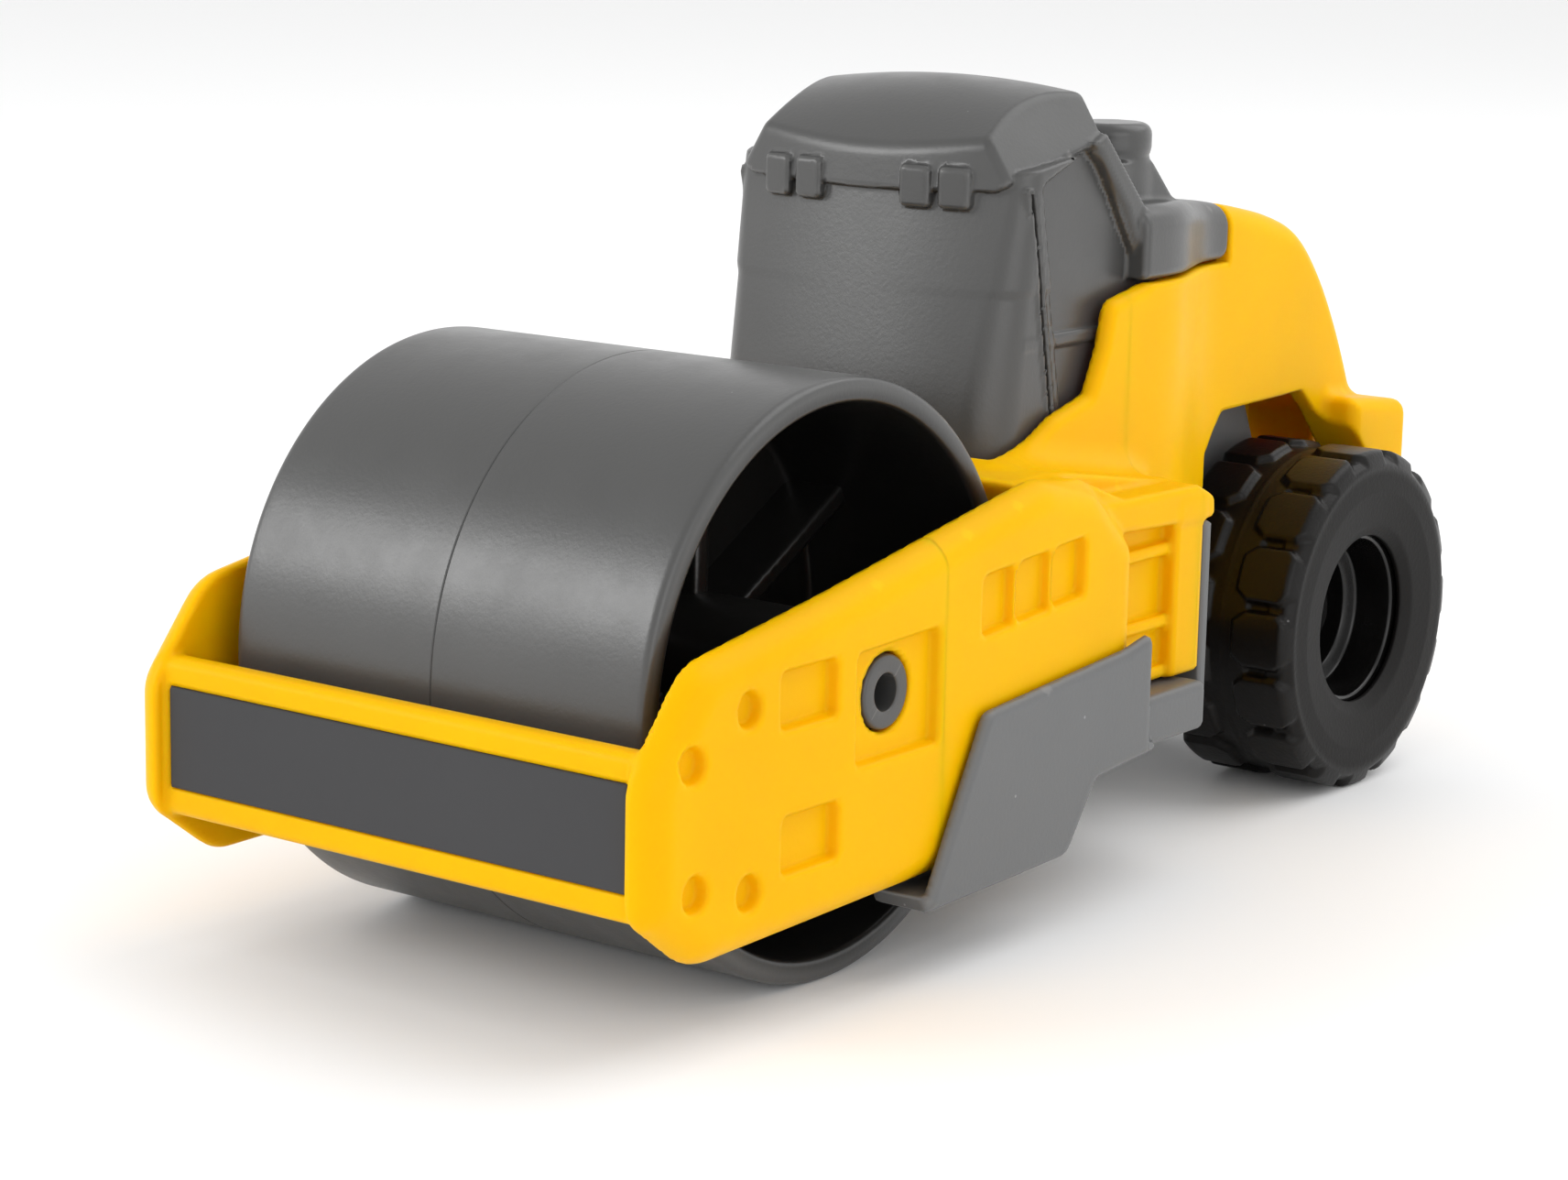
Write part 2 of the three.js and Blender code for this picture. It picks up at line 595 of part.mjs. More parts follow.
// ---------- chassis, light grey ----------
// Step panel outside the plate, its lip and web under the plate, and the ledge block behind.
const stepPanel = () => {
  const under = axisZ - 15.3;       // underside of the plate
  const outline = rounded([
    [2.7, under - 1.8, 1.2],
    [plateRear - 11, under - 1.3, 2],
    [plateRear - 7.1, ledgeBottom - 0.7, 1.5],
    [plateRear + 0.7, ledgeBottom],
    [plateRear + 0.7, ledgeBottom + 9.9, 1.2],
    [plateRear - 3.2, ledgeBottom + 9.1],
    [10.2, ledgeBottom + 7.5, 1.2],
  ]);
  const panel = cut(
    alongX(outline, panelInner - 2, panelOuter, panelThickness * 0.66),
    box(panelInner - 4, panelInner, 0, shelfEnd, 0, shelfEnd),
  );
  const lipLine = [
    [3.4, under - 1.8],
    [plateRear - 11.2, under - 1.3],
    [plateRear - 11.6, under - 0.2],
    [3, under - 0.6],
  ];
  const webLine = [
    [plateRear - 13.2, under - 1],
    [plateRear - 10.6, under - 0.8],
    [plateRear - 6.2, ledgeBottom],
    [trayFront + 2, ledgeBottom],
    [trayFront + 2, ledgeBottom + 0.7],
    [plateRear - 7.2, ledgeBottom + 0.7],
    [plateRear - 12.8, under - 0.2],
  ];
  const lip = alongX(lipLine, plateInner - 1.4, panelInner + 0.4);
  const web = alongX(webLine, plateInner - 1.4, panelInner + 0.4);
  const back = box(plateInner, panelInner + 0.4, trayFront, trayFront + 1, ledgeBottom, ledgeTop);
  return bothSides(join(panel, lip, web, back));
};

const tray = () => {
  const floorTop = ledgeBottom + chassisWall;
  const hollowX = middleHalfWidth - 1;
  const wallX = shelfHalfWidth - 0.5;
  const outer = box(-plateHalfWidth, plateHalfWidth, trayFront, trayRear, ledgeBottom, ledgeTop);
  const hollow = box(-hollowX, hollowX, trayFront + chassisWall, trayRear + 6, floorTop, 30);
  const tail = box(-middleHalfWidth, middleHalfWidth, trayRear - 4, bulkhead + 0.2, ledgeBottom, floorTop);
  const wall = box(-wallX, wallX, bulkhead, bulkhead + 1.2, ledgeBottom, deckTop - 3.4);
  const rim = box(-columnHalfWidth, columnHalfWidth, trayRear - 1, bulkhead + 0.2, ledgeBottom, floorTop);
  return join(cut(outer, hollow), tail, wall, rim);
};

const beam = () => {
  const side = rounded([
    [shelfEnd - 3, beamBottom],
    [beamEnd, beamBottom, 1],
    [beamEnd, axleZ + 8.7, 2],
    [axleY + 6, axleZ + 10.7, 2],
    [axleY + 2, archTop - 0.4, 1],
    [axleY - 17, archTop - 0.4, 1],
    [axleY - 20, axleZ + 10.7, 2],
    [shelfEnd - 3, axleZ + 10.7],
  ]);
  const inner = beamHalfWidth - chassisWall;
  const block = 4;                  // half the length of the solid block round the axle
  const floorTop = beamBottom + chassisWall;
  const outer = alongX(side, -beamHalfWidth, beamHalfWidth);
  const front = box(-inner, inner, trayRear, axleY - block, floorTop, 60);
  const back = box(-inner, inner, axleY + block, beamEnd - chassisWall, floorTop, 60);
  const above = box(-inner, inner, axleY - block - 0.1, axleY + block + 0.1, axleZ + 3.4, 60);
  const bore = crosswise(axleRadius + runGap, -beamHalfWidth - 3, beamHalfWidth + 3, axleY, axleZ, 24);
  const room = block - chassisWall;
  const lightening = box(-inner, inner, axleY - room, axleY + room, 0, axleZ + 5);
  const entry = box(-beamHalfWidth - 1, beamHalfWidth + 1, 30, bulkhead, 0, 60);
  return cut(outer, front, back, above, bore, lightening, entry);
};

const chassis = () => {
  const frame = join(tray(), beam(), stepPanel());
  const openingX = beamHalfWidth - chassisWall;
  const opening = box(-openingX, openingX, bulkhead - 1, bulkhead + 3, 15, 40);
  const holes = bodyScrews.flatMap(([x, y]) => {
    const floor = x === 0 ? beamBottom : ledgeBottom;
    return [
      upright(screwShank + 0.25, x, y, 0, floor + 4, 16),
      upright(screwHead + 0.25, x, y, 0, floor + 0.5, 20),
    ];
  });
  return cut(frame, ...holes).subtract(opening);
};

// ---------- drum ----------
const drumProfile = (innerEnd) => {
  const stubEnd = plateHalfWidth - stubRecess;
  const innerRadius = drumRadius - drumWall;
  const web = 1.7;
  return [
    [0, innerEnd],
    [drumRadius - 0.15, innerEnd],
    [drumRadius, innerEnd + 0.25],
    [drumRadius, drumHalfWidth - 0.6],
    [drumRadius - 0.6, drumHalfWidth],
    [innerRadius + 0.3, drumHalfWidth],
    [innerRadius, drumHalfWidth - 0.4],
    [innerRadius, innerEnd + web],
    [drumHubRadius, innerEnd + web],
    [drumHubRadius, plateInner - 0.5],
    [stubRadius, plateInner - 0.4],
    [stubRadius, stubEnd - 0.3],
    [stubRadius - 0.3, stubEnd],
    [stubBore, stubEnd],
    [stubBore, innerEnd + web + 4],
    [0, innerEnd + web + 4],
  ];
};

const drumRibs = () => {
  const reach = drumRadius - drumWall / 2;
  const spoke = [0, 1, 2].map((i) => {
    const bar = new THREE.BoxGeometry(drumRibEnd - 1, 1.6, 2 * reach).translate((drumRibEnd + 1) / 2, 0, 0);
    return toSolid(bar.rotateX((i * Math.PI) / 3).translate(0, 0, drumRadius));
  });
  const hub = crosswise(drumHubRadius - 0.5, 0, drumRibEnd + 1, 0, drumRadius, 24);
  return cut(join(...spoke), hub);
};

const drumHalf = (side) => {
  const half = join(turnedX(drumProfile(seamGap / 2), 0, drumRadius, 48), drumRibs());
  if (side > 0) return join(half, crosswise(spigotRadius, -spigotLength, 1, 0, drumRadius, 20));
  const socket = crosswise(spigotRadius + gap, -1, spigotLength + gap, 0, drumRadius, 20);
  return cut(half, socket).mirror([1, 0, 0]);
};

// ---------- rear wheels ----------
const rimFace = tyreOuter - 1.7;

const rimProfile = () => [
  [axleRadius + 0.02, tyreInner + 1.5],
  [axleRadius + 2.15, tyreInner + 1.5],
  [axleRadius + 2.15, tyreInner + 4.8],
  [tyreBore - 2, tyreInner + 4.8],
  [tyreBore - 2, tyreInner + 1.2],
  [tyreBore - gap, tyreInner + 1.2],
  [tyreBore - gap, rimFace],
  [rimOpening, rimFace],
  [rimOpening - 0.2, rimFace - 3.6],
  [rimOpening - 1.5, rimFace - 4],
  [rimOpening - 1.7, tyreInner + 6.4],
  [axleRadius + 1.65, tyreInner + 6.4],
  [axleRadius + 1.45, axleEnd + 0.9],
  [0, axleEnd + 0.9],
  [0, axleEnd + 0.3],
  [axleRadius + 0.02, axleEnd + 0.3],
];

const tyreProfile = () => [
  [tyreBore, tyreInner + 0.8],
  [tyreBore + 0.8, tyreInner],
  [tyreRadius - 1.8, tyreInner],
  [tyreRadius - 0.5, tyreInner + 1.2],
  [tyreRadius, tyreInner + 2.8],
  [tyreRadius, tyreOuter - 2.6],
  [tyreRadius - 0.5, tyreOuter - 1],
  [tyreRadius - 1.6, tyreOuter],
  [tyreBore + 0.4, tyreOuter],
  [rimOpening + 0.6, rimFace + 0.9],
  [rimOpening + 0.6, rimFace + gap],
  [tyreBore, rimFace + gap],
];

const wheelPiece = (profile, side, sides) => {
  const solid = turnedX(profile, axleY, axleZ, sides);
  return side > 0 ? solid : solid.mirror([1, 0, 0]);
};

const rearAxle = () => turnedX([
  [0, -axleEnd],
  [axleRadius - 0.2, -axleEnd],
  [axleRadius - 0.02, -axleEnd + 0.3],
  [axleRadius - 0.02, axleEnd - 0.3],
  [axleRadius - 0.2, axleEnd],
  [0, axleEnd],
], axleY, axleZ, 20);

// ---------- labels and screws ----------
const frontLabel = () => {
  const front = barFront + 0.1 - labelThickness + 0.2;
  return box(-labelHalfWidth, labelHalfWidth, front, barFront + 0.1, barBottom + 2, barTop - 2.2);
};

const screw = ([x, y], seat, length) => join(
  upright(screwShank, x, y, seat - 0.1, seat + length, 12),
  upright(screwHead, x, y, seat - screwHeadHeight, seat, 20),
);

// ---------- assembly ----------
const finishes = {
  yellow: { color: 0xf8b11a, roughness: 0.42, metalness: 0 },
  darkGrey: { color: 0x5a5a59, roughness: 0.42, metalness: 0 },
  lightGrey: { color: 0x7c7d7e, roughness: 0.45, metalness: 0 },
  label: { color: 0x48484a, roughness: 0.6, metalness: 0 },
  tyre: { color: 0x1d1a18, roughness: 0.5, metalness: 0 },
  rim: { color: 0x141312, roughness: 0.3, metalness: 0 },
  steel: { color: 0xa8a8a8, roughness: 0.35, metalness: 1 },
};

const model = new THREE.Group();
const fromDrumAxis = new THREE.Group();
fromDrumAxis.position.y = (frontReach - rearReach) / 2;
model.add(fromDrumAxis);

const place = (name, solid, finish) => {
  const mesh = new THREE.Mesh(toGeometry(solid), new THREE.MeshStandardMaterial(finishes[finish]));
  mesh.name = name;
  fromDrumAxis.add(mesh);
};

place('body_shell', bodyShell(), 'yellow');
place('cab_moulding', cab(), 'darkGrey');
place('chassis', chassis(), 'lightGrey');
place('drum_half_left', drumHalf(1), 'darkGrey');
place('drum_half_right', drumHalf(-1), 'darkGrey');
place('rear_axle', rearAxle(), 'steel');
[['left', 1], ['right', -1]].forEach(([name, side]) => {
  place(`rim_${name}`, wheelPiece(rimProfile(), side, 24), 'rim');
  place(`tyre_${name}`, wheelPiece(tyreProfile(), side, 36), 'tyre');
});
place('front_label', frontLabel(), 'label');
bodyScrews.forEach((where, i) => {
  const floor = where[0] === 0 ? beamBottom : ledgeBottom;
  place(`chassis_screw_${i + 1}`, screw(where, floor + 0.5 - gap, 7), 'steel');
});
cabScrews.forEach((where, i) => {
  place(`cab_screw_${i + 1}`, screw(where, deckBottom - gap, 8), 'steel');
});

export default model;
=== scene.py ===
import json
import math
import bpy
import numpy as np
from mathutils import Matrix, Vector


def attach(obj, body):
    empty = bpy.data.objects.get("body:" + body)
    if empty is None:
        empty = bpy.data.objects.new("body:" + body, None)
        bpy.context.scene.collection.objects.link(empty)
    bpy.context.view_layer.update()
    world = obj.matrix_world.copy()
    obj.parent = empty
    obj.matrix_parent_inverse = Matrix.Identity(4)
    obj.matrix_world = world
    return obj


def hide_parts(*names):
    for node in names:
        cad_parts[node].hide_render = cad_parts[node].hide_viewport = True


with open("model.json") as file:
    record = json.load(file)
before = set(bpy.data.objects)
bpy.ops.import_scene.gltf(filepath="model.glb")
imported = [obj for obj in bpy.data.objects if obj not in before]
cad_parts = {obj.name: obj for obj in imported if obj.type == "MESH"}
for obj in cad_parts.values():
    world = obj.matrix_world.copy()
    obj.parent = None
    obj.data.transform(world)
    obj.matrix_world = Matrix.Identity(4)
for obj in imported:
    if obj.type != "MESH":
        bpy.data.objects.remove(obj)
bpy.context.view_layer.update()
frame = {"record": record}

# Lengths below are millimetres counted from the drum axis, with z from the floor.
jointPlace = {j["name"]: j["pos_m"] for j in frame["record"]["behaviour"]["joints"]}
drumY, drumZ = [1000 * v for v in jointPlace["drum_spin"][1:]]
wheelY, wheelZ = [1000 * v for v in jointPlace["rear_axle_spin"][1:]]
axleBack = wheelY - drumY


def spot(x, y, z):  # millimetres from the drum axis -> metres in the row frame
    return Vector((x / 1000, (y + drumY) / 1000, z / 1000))


# Distance functions in millimetres, negative inside.
def meet(a, b, r=0.3):  # both, with the outer edge rounded to r
    return np.minimum(np.maximum(a, b), -r) + np.hypot(np.maximum(a + r, 0), np.maximum(b + r, 0))


def fuse(a, b, r=0.3):  # either, with the inner corner filled to r
    return -meet(-a, -b, r)


def carve(a, b, r=0.3):  # a without b
    return meet(a, -b, r)


def slab(v, low, high):  # between two planes
    return np.abs(v - (low + high) / 2) - (high - low) / 2


def brick(x, y, z, cx, cy, cz, r=0.3):  # box given by its low and high value on each axis
    return meet(meet(slab(x, *cx), slab(y, *cy), r), slab(z, *cz), r)


def disc(p, q, cp, cq, r):  # round bar of radius r about (cp, cq)
    return np.hypot(p - cp, q - cq) - r


def outline(p, q, corners):  # exact distance to a closed outline in two coordinates
    pts = np.array(corners, np.float32)
    nearest, flips = None, None
    for a, b in zip(pts, np.roll(pts, -1, 0)):
        ex, ey = b - a
        wx, wy = p - a[0], q - a[1]
        t = np.clip((wx * ex + wy * ey) / (ex * ex + ey * ey), 0, 1)
        d = (wx - ex * t) ** 2 + (wy - ey * t) ** 2
        nearest = d if nearest is None else np.minimum(nearest, d)
        spans = (a[1] <= q) != (b[1] <= q)
        crossed = spans & ((ex * wy - ey * wx) * np.sign(b[1] - a[1]) > 0)
        flips = crossed if flips is None else flips ^ crossed
    return np.where(flips, -1, 1) * np.sqrt(nearest)


def rounded(corners, steps=5):  # corners (a, b) or (a, b, radius), filleted
    out = []
    n = len(corners)
    for i, c in enumerate(corners):
        here = np.array(c[:2], float)
        if len(c) < 3:
            out.append(here)
            continue
        before = np.array(corners[i - 1][:2], float) - here
        after = np.array(corners[(i + 1) % n][:2], float) - here
        lb, la = np.linalg.norm(before), np.linalg.norm(after)
        angle = math.acos(np.clip(before @ after / lb / la, -1, 1))
        reach = min(c[2] / math.tan(angle / 2), 0.49 * lb, 0.49 * la)
        s, e = here + before / lb * reach, here + after / la * reach
        for t in np.linspace(0, 1, steps + 1):
            out.append((1 - t) ** 2 * s + 2 * t * (1 - t) * here + t * t * e)
    return [tuple(v) for v in out]


# Mesh of a distance function: one vertex in each crossed cell, then moved onto the surface.
def gradient(field, pts, e=0.06):  # slope of the field from four samples round each point
    g = np.zeros_like(pts)
    for k in ((1, -1, -1), (-1, -1, 1), (-1, 1, -1), (1, 1, 1)):
        k = np.array(k, np.float32)
        g += k * field(*(pts + e * k).T)[:, None]
    return g / (4 * e)


# A vertex is the mean of the crossings on its cell's edges,
# and each crossed edge gives a face between four cells.
def draw(field, low, high, step, passes=2):
    axes = [np.arange(l - step, h + 2 * step, step, dtype=np.float32) for l, h in zip(low, high)]
    x, y, z = axes[0][:, None, None], axes[1][None, :, None], axes[2][None, None, :]
    v = np.ascontiguousarray(np.broadcast_to(field(x, y, z), [len(a) for a in axes])).astype(np.float32)
    inside = v < 0
    n = np.array(v.shape) - 1
    corners = [(i, j, k) for i in (0, 1) for j in (0, 1) for k in (0, 1)]
    count = sum(inside[i:i + n[0], j:j + n[1], k:k + n[2]].astype(np.int8) for i, j, k in corners)
    cells = np.argwhere((count > 0) & (count < 8))
    value = np.stack([v[tuple((cells + c).T)] for c in corners], 1)
    total, hits = np.zeros((len(cells), 3), np.float32), np.zeros((len(cells), 1), np.float32)
    for a in range(8):
        for b in range(a + 1, 8):
            ca, cb = np.array(corners[a]), np.array(corners[b])
            if np.abs(ca - cb).sum() != 1:
                continue
            va, vb = value[:, a], value[:, b]
            hit = (va < 0) != (vb < 0)
            t = np.where(hit, va / np.where(hit, va - vb, 1), 0)[:, None]
            total += np.where(hit[:, None], ca + t * (cb - ca), 0)
            hits += hit[:, None]
    pts = (np.array([a[0] for a in axes]) + (cells + total / hits) * step).astype(np.float32)
    number = np.full(n, -1, np.int32)
    number[tuple(cells.T)] = np.arange(len(cells))
    quads = []
    for axis in range(3):
        u, w = [k for k in range(3) if k != axis]
        edge = np.argwhere(inside[:-1, :-1, :-1] != np.roll(inside, -1, axis)[:-1, :-1, :-1])
        edge = edge[(edge[:, u] > 0) & (edge[:, w] > 0)]
        du, dw = np.zeros(3, int), np.zeros(3, int)
        du[u], dw[w] = 1, 1
        ring = np.stack([number[tuple((edge - s).T)] for s in (du * 0, du, du + dw, dw)], 1)
        quads.append(ring[(ring >= 0).all(1)])
    quads = np.concatenate(quads)
    for i in range(passes):
        g = gradient(field, pts)
        g2 = np.maximum((g * g).sum(1), 0.2)
        move = -field(*pts.T)[:, None] * g / g2[:, None]
        pts += np.clip(move, -step / 2, step / 2)
        if i + 1 < passes:  # evens out the quads before the last pull to the surface
            mid = pts[quads].mean(1)
            sums, cnt = np.zeros_like(pts), np.zeros(len(pts), np.float32)
            for k in range(4):
                np.add.at(sums, quads[:, k], mid)
                np.add.at(cnt, quads[:, k], 1)
            pts = 0.5 * pts + 0.5 * sums / np.maximum(cnt, 1)[:, None]
    g = gradient(field, pts, 0.12)
    normals = g / np.maximum(np.linalg.norm(g, axis=1, keepdims=True), 1e-6)
    flat = np.cross(pts[quads[:, 2]] - pts[quads[:, 0]], pts[quads[:, 3]] - pts[quads[:, 1]])
    wrong = (flat * normals[quads].sum(1)).sum(1) < 0
    quads[wrong] = quads[wrong][:, ::-1]
    return pts, quads, normals


# Meshes from arrays: points go from the drum axis to the row frame, in metres.
# One finished piece that rides on a body and stands for CAD nodes.
# tones holds attributes, with a value for each point.
def solid(name, pts, quads, material, body, stands, slot, normals=None, tones=None):
    pts = np.asarray(pts, np.float32)
    place = (pts + np.array([0, drumY, 0], np.float32)) / 1000
    mesh = bpy.data.meshes.new(name)
    mesh.from_pydata(place.tolist(), [], quads if isinstance(quads, list) else quads.tolist())
    mesh.polygons.foreach_set("use_smooth", np.ones(len(mesh.polygons), bool))
    for key, values in (tones or {}).items():
        layer = mesh.attributes.new(key, "FLOAT", "POINT")
        layer.data.foreach_set("value", np.asarray(values, np.float32))
    mesh.update()
    if normals is not None:
        mesh.normals_split_custom_set_from_vertices(normals.tolist())
    made = bpy.data.objects.new(name, mesh)
    bpy.context.scene.collection.objects.link(made)
    mesh.materials.append(material)
    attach(made, body)
    if stands:
        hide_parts(*stands)


def tally(name, quads):
    print(f"{name}: {2 * len(quads)} triangles")


def capped(quads):  # the quads and one more face over each open end
    start = quads.ravel().astype(np.int64)
    end = np.roll(quads, -1, 1).ravel().astype(np.int64)
    many = quads.max() + 1
    bare = ~np.isin(start * many + end, end * many + start)  # edges that only one face has
    after = dict(zip(end[bare].tolist(), start[bare].tolist()))
    faces = quads.tolist()
    while after:
        first, here = after.popitem()
        loop = [first]
        while here != first and here in after:
            loop.append(here)
            here = after.pop(here)
        if len(loop) > 2:
            faces.append(loop)
    return faces


fineness = 1.0


def parts(field, grid, names, **looks):  # one field drawn whole, then shared out along y at the grid's cuts
    pts, quads, normals = draw(field, grid["low"], grid["high"], grid["step"] * fineness)
    mid = pts[quads][:, :, 1].mean(1)
    band = np.digitize(mid, grid["cuts"])
    for i, name in enumerate(names):
        own = quads[band == i]
        used, back = np.unique(own, return_inverse=True)
        own = back.reshape(own.shape)
        solid(name, pts[used], capped(own), normals=normals[used], **looks)
        tally(name, own)


def spun(profile, turns, lift=None):  # (radius, x) turned about X; lift(radius, x, angle) moves the radius
    prof = np.array(profile, float)
    angle = np.arange(turns) / turns * 2 * math.pi
    r = np.repeat(prof[:, 0][:, None], turns, 1)
    x = np.repeat(prof[:, 1][:, None], turns, 1)
    if lift is not None:
        r = r + lift(r, x, np.broadcast_to(angle, r.shape))
    pts = np.stack([x, r * np.cos(angle), r * np.sin(angle)], -1).reshape(-1, 3)
    rows = len(prof)
    i, j = np.meshgrid(np.arange(rows - 1), np.arange(turns), indexing="ij")
    k = (j + 1) % turns
    quads = np.stack([i * turns + j, i * turns + k, (i + 1) * turns + k, (i + 1) * turns + j], -1)
    return pts, quads.reshape(-1, 4)


def smoothLine(corners, spacing, closed=False):  # filleted outline resampled to even steps
    pts = np.array(rounded(corners, 6))
    if closed:
        pts = np.vstack([pts, pts[:1]])
    seg = np.linalg.norm(np.diff(pts, axis=0), axis=1)
    keep = np.r_[True, seg > 1e-6]
    pts, seg = pts[keep], seg[seg > 1e-6]
    out = [pts[0]]
    for a, b, d in zip(pts[:-1], pts[1:], seg):
        k = max(1, int(math.ceil(d / spacing)))
        out += [a + (b - a) * (t + 1) / k for t in range(k)]
    return np.array(out)


# Screws, each as x, y and the height of its seat. The side and cab screws have a twin at -x.
screw = dict(
    side=(14, 40.5, 12.1), front=(0, 69.4, 9.8), back=(0, 87.6, 9.8), cab=(8, 38, 29.9),
    tower=2.8, pilot=1.25)


def sideHoles(x, y, r):  # round bars of radius r at the side screws
    return disc(np.abs(x), y, *screw["side"][:2], r)


def middleHoles(x, y, r):  # the same at the two screws on the middle line
    return np.minimum(disc(x, y, *screw["front"][:2], r), disc(x, y, *screw["back"][:2], r))


def cabHoles(x, y, r):
    return disc(np.abs(x), y, *screw["cab"][:2], r)


# Yellow body, first its side plates and the bar across the front.
bodyGrid = dict(low=(-25.5, -28.5, 6), high=(25.5, 97, 56), step=0.42, cuts=[6, 45.3])
plate = dict(outside=25.0, inside=22.4, round=2.5, markDepth=1.0, bore=3.0)
plateEdge = rounded([
    (-28, 21, 4), (-28, 11.2, 3), (-21.8, 6.6, 5), (3, 7.2), (18.5, 7.8, 3), (25, 13.4, 3), (33.2, 13.4),
    (33.2, 29, 2.6), (27.6, 34, 5), (20.2, 35.6, 6), (-6.2, 30.7), (-22.4, 28, 5)])
barEdge = rounded([(-27, 10.5, 1.2), (-24.8, 10.5, 0.9), (-24.8, 22.6, 0.9), (-27, 22.6, 1.1)])
hubEdge = rounded([(-4.6, 18.1, 0.5), (5.3, 18.1, 0.5), (5.3, 26.4, 0.5), (-4.6, 26.0, 0.5)])


def plateMarks(y, z):  # dots, squares and the three-cell window sunk in the side plate
    marks = disc(y, z, -17.4, 24.4, 1.1)
    for cy, cz in ((-23.6, 21.6), (-17.2, 11.3), (-23.2, 12.5)):
        marks = np.minimum(marks, disc(y, z, cy, cz, 1.1))
    for cy, cz in ((-10.5, 24.3), (-10.1, 13.8)):
        marks = np.minimum(marks, meet(slab(y, cy - 3.1, cy + 3.1), slab(z, cz - 1.9, cz + 1.9), 0.4))
    rise = z - (y - 11.2) * 0.08
    for low, high in ((11.2, 15.1), (15.9, 20.0), (20.8, 24.9)):
        marks = np.minimum(marks, meet(slab(y, low, high), slab(rise, 25.1, 29.3), 0.5))
    return np.minimum(marks, outline(y, z, hubEdge))


def sidePlates(x, y, z):  # outline between two planes, less the drafted marks and the bore
    ax = np.abs(x)
    out = meet(outline(y, z, plateEdge), ax - plate["outside"], plate["round"])
    out = meet(out, plate["inside"] - ax, 0.4)
    floorX = plate["outside"] - plate["markDepth"]
    draft = 0.3 * np.clip(ax - floorX, -0.5, 1.5)
    out = carve(out, meet(plateMarks(y, z) - draft, floorX - ax, 0.2), 0.3)
    return carve(out, np.hypot(y, z - drumZ) - plate["bore"] + 0 * ax, 0.25)


def crossbar(x, y, z):  # outline across the front, less the seat of the film
    bar = meet(outline(y, z, barEdge), np.abs(x) - 23.4, 0.2)
    seat = meet(meet(slab(y, -30, -26.6), slab(z, 12.7, 20.55), 0.1), np.abs(x) - 22.0, 0.1)
    return carve(bar, seat, 0.1)


# Middle of the body: cowl, deck, shelves and the pockets at the sides.
middle = dict(cowl=24.4, wall=1.8, core=20.2, cheek=22.8, shelf=23.4)
coreEdge = [(14, 16.3), (14, 34.6), (29, 34.6), (44.8, 32.0), (46.2, 31.2), (46.2, 16.3)]
cheekEdge = [(14, 14.5), (14, 34.6), (26.8, 34.6), (30, 33.6), (33, 32.4), (33, 14.5)]
shelfEdge = rounded([
    (30, 29.6), (45.4, 28.9, 0.3), (47.4, 29.0, 0.6), (47.3, 30.8, 0.9), (44.7, 32.0, 1.2), (30, 32.3)])
hollowEdge = [(14, 8), (14, 30.2), (44.4, 30.2), (44.4, 8)]


def middleBody(x, y, z):  # blocks clear of the drum, a shelf on each side and the walls of the pockets
    ax = np.abs(x)
    room = middle["cowl"] - np.hypot(y, z - drumZ)
    core = meet(meet(outline(y, z, coreEdge), room, 0.4), ax - middle["core"], 0.5)
    cheek = meet(meet(outline(y, z, cheekEdge), room, 0.4), ax - middle["cheek"], 0.3)
    out = fuse(core, cheek, 0.6)
    shelf = meet(meet(outline(y, z, shelfEdge), ax - middle["shelf"], 0.5), 15 - ax, 0.3)
    out = fuse(out, shelf, 0.5)
    out = fuse(out, brick(ax, y, z, (18, 23.2), (41.6, 46.0), (16.3, 31), 0.5), 0.5)
    out = fuse(out, brick(ax, y, z, (18, 21.7), (31, 44), (16.3, 30), 0.4), 0.4)
    for bar in ((26.5, 27.6), (20.5, 21.6), (16.3, 17.4)):
        out = fuse(out, brick(ax, y, z, (18, 22.6), (31, 44), bar, 0.4), 0.35)
    return out


def eased(line, span):  # the line through the given points, averaged twice over a sliding span
    place = np.linspace(line[0][0], line[-1][0], 500)
    value = np.interp(place, *np.array(line, float).T)
    for _ in range(2):
        value = np.mean([np.interp(place + d, place, value) for d in np.linspace(-span / 2, span / 2, 11)], 0)
    return np.stack([place, value], 1)


# Hood: half width and top height along y.
hoodLine = dict(
    width=eased([(20, 15.9), (53.5, 15.8), (63, 12.15), (80, 12.0), (94, 11.7)], 4),
    top=eased([
        (20, 54.2), (50, 53.9), (58, 53.5), (64, 53.0), (69.5, 52.2), (75, 51.2), (79, 50.1), (81.3, 49.0),
        (83.2, 47.4), (85.9, 44.6), (88.8, 40.6), (91, 36.9), (92.8, 33.5), (95, 28.5)], 2.4),
    corner=2.0, bumper=15.3)
flankEdge = rounded([
    (26.8, 29), (48.5, 29), (48.5, 16.3), (62.5, 16.3), (92.6, 25.3), (93.5, 36), (90, 60), (48.5, 60),
    (48.5, 47.6, 1.2), (42.4, 46.4, 1.6), (41.5, 42.8, 1.2), (39.7, 39.1, 1.2), (34.6, 37.8, 1.8),
    (30.8, 35.9, 1.2), (28.8, 34.8, 1.5), (26.4, 34.4)])
archEdge = rounded([
    (60.9, 8), (60.9, 16), (61.6, 20.5), (62.8, 24.3), (64.4, 28.0, 0.6), (64.5, 30.9, 0.8),
    (67.2, 34.3, 1.0), (82, 34.6, 1.0), (85.6, 31.7, 1.0), (88.2, 28.9, 1.0), (92.4, 24.9, 1.0), (98.5, 24.3), (98.5, 8)])
bumperEdge = rounded([(86, 24), (96.5, 24), (96.5, 32.6, 1.7), (86, 33.8, 0.8)])


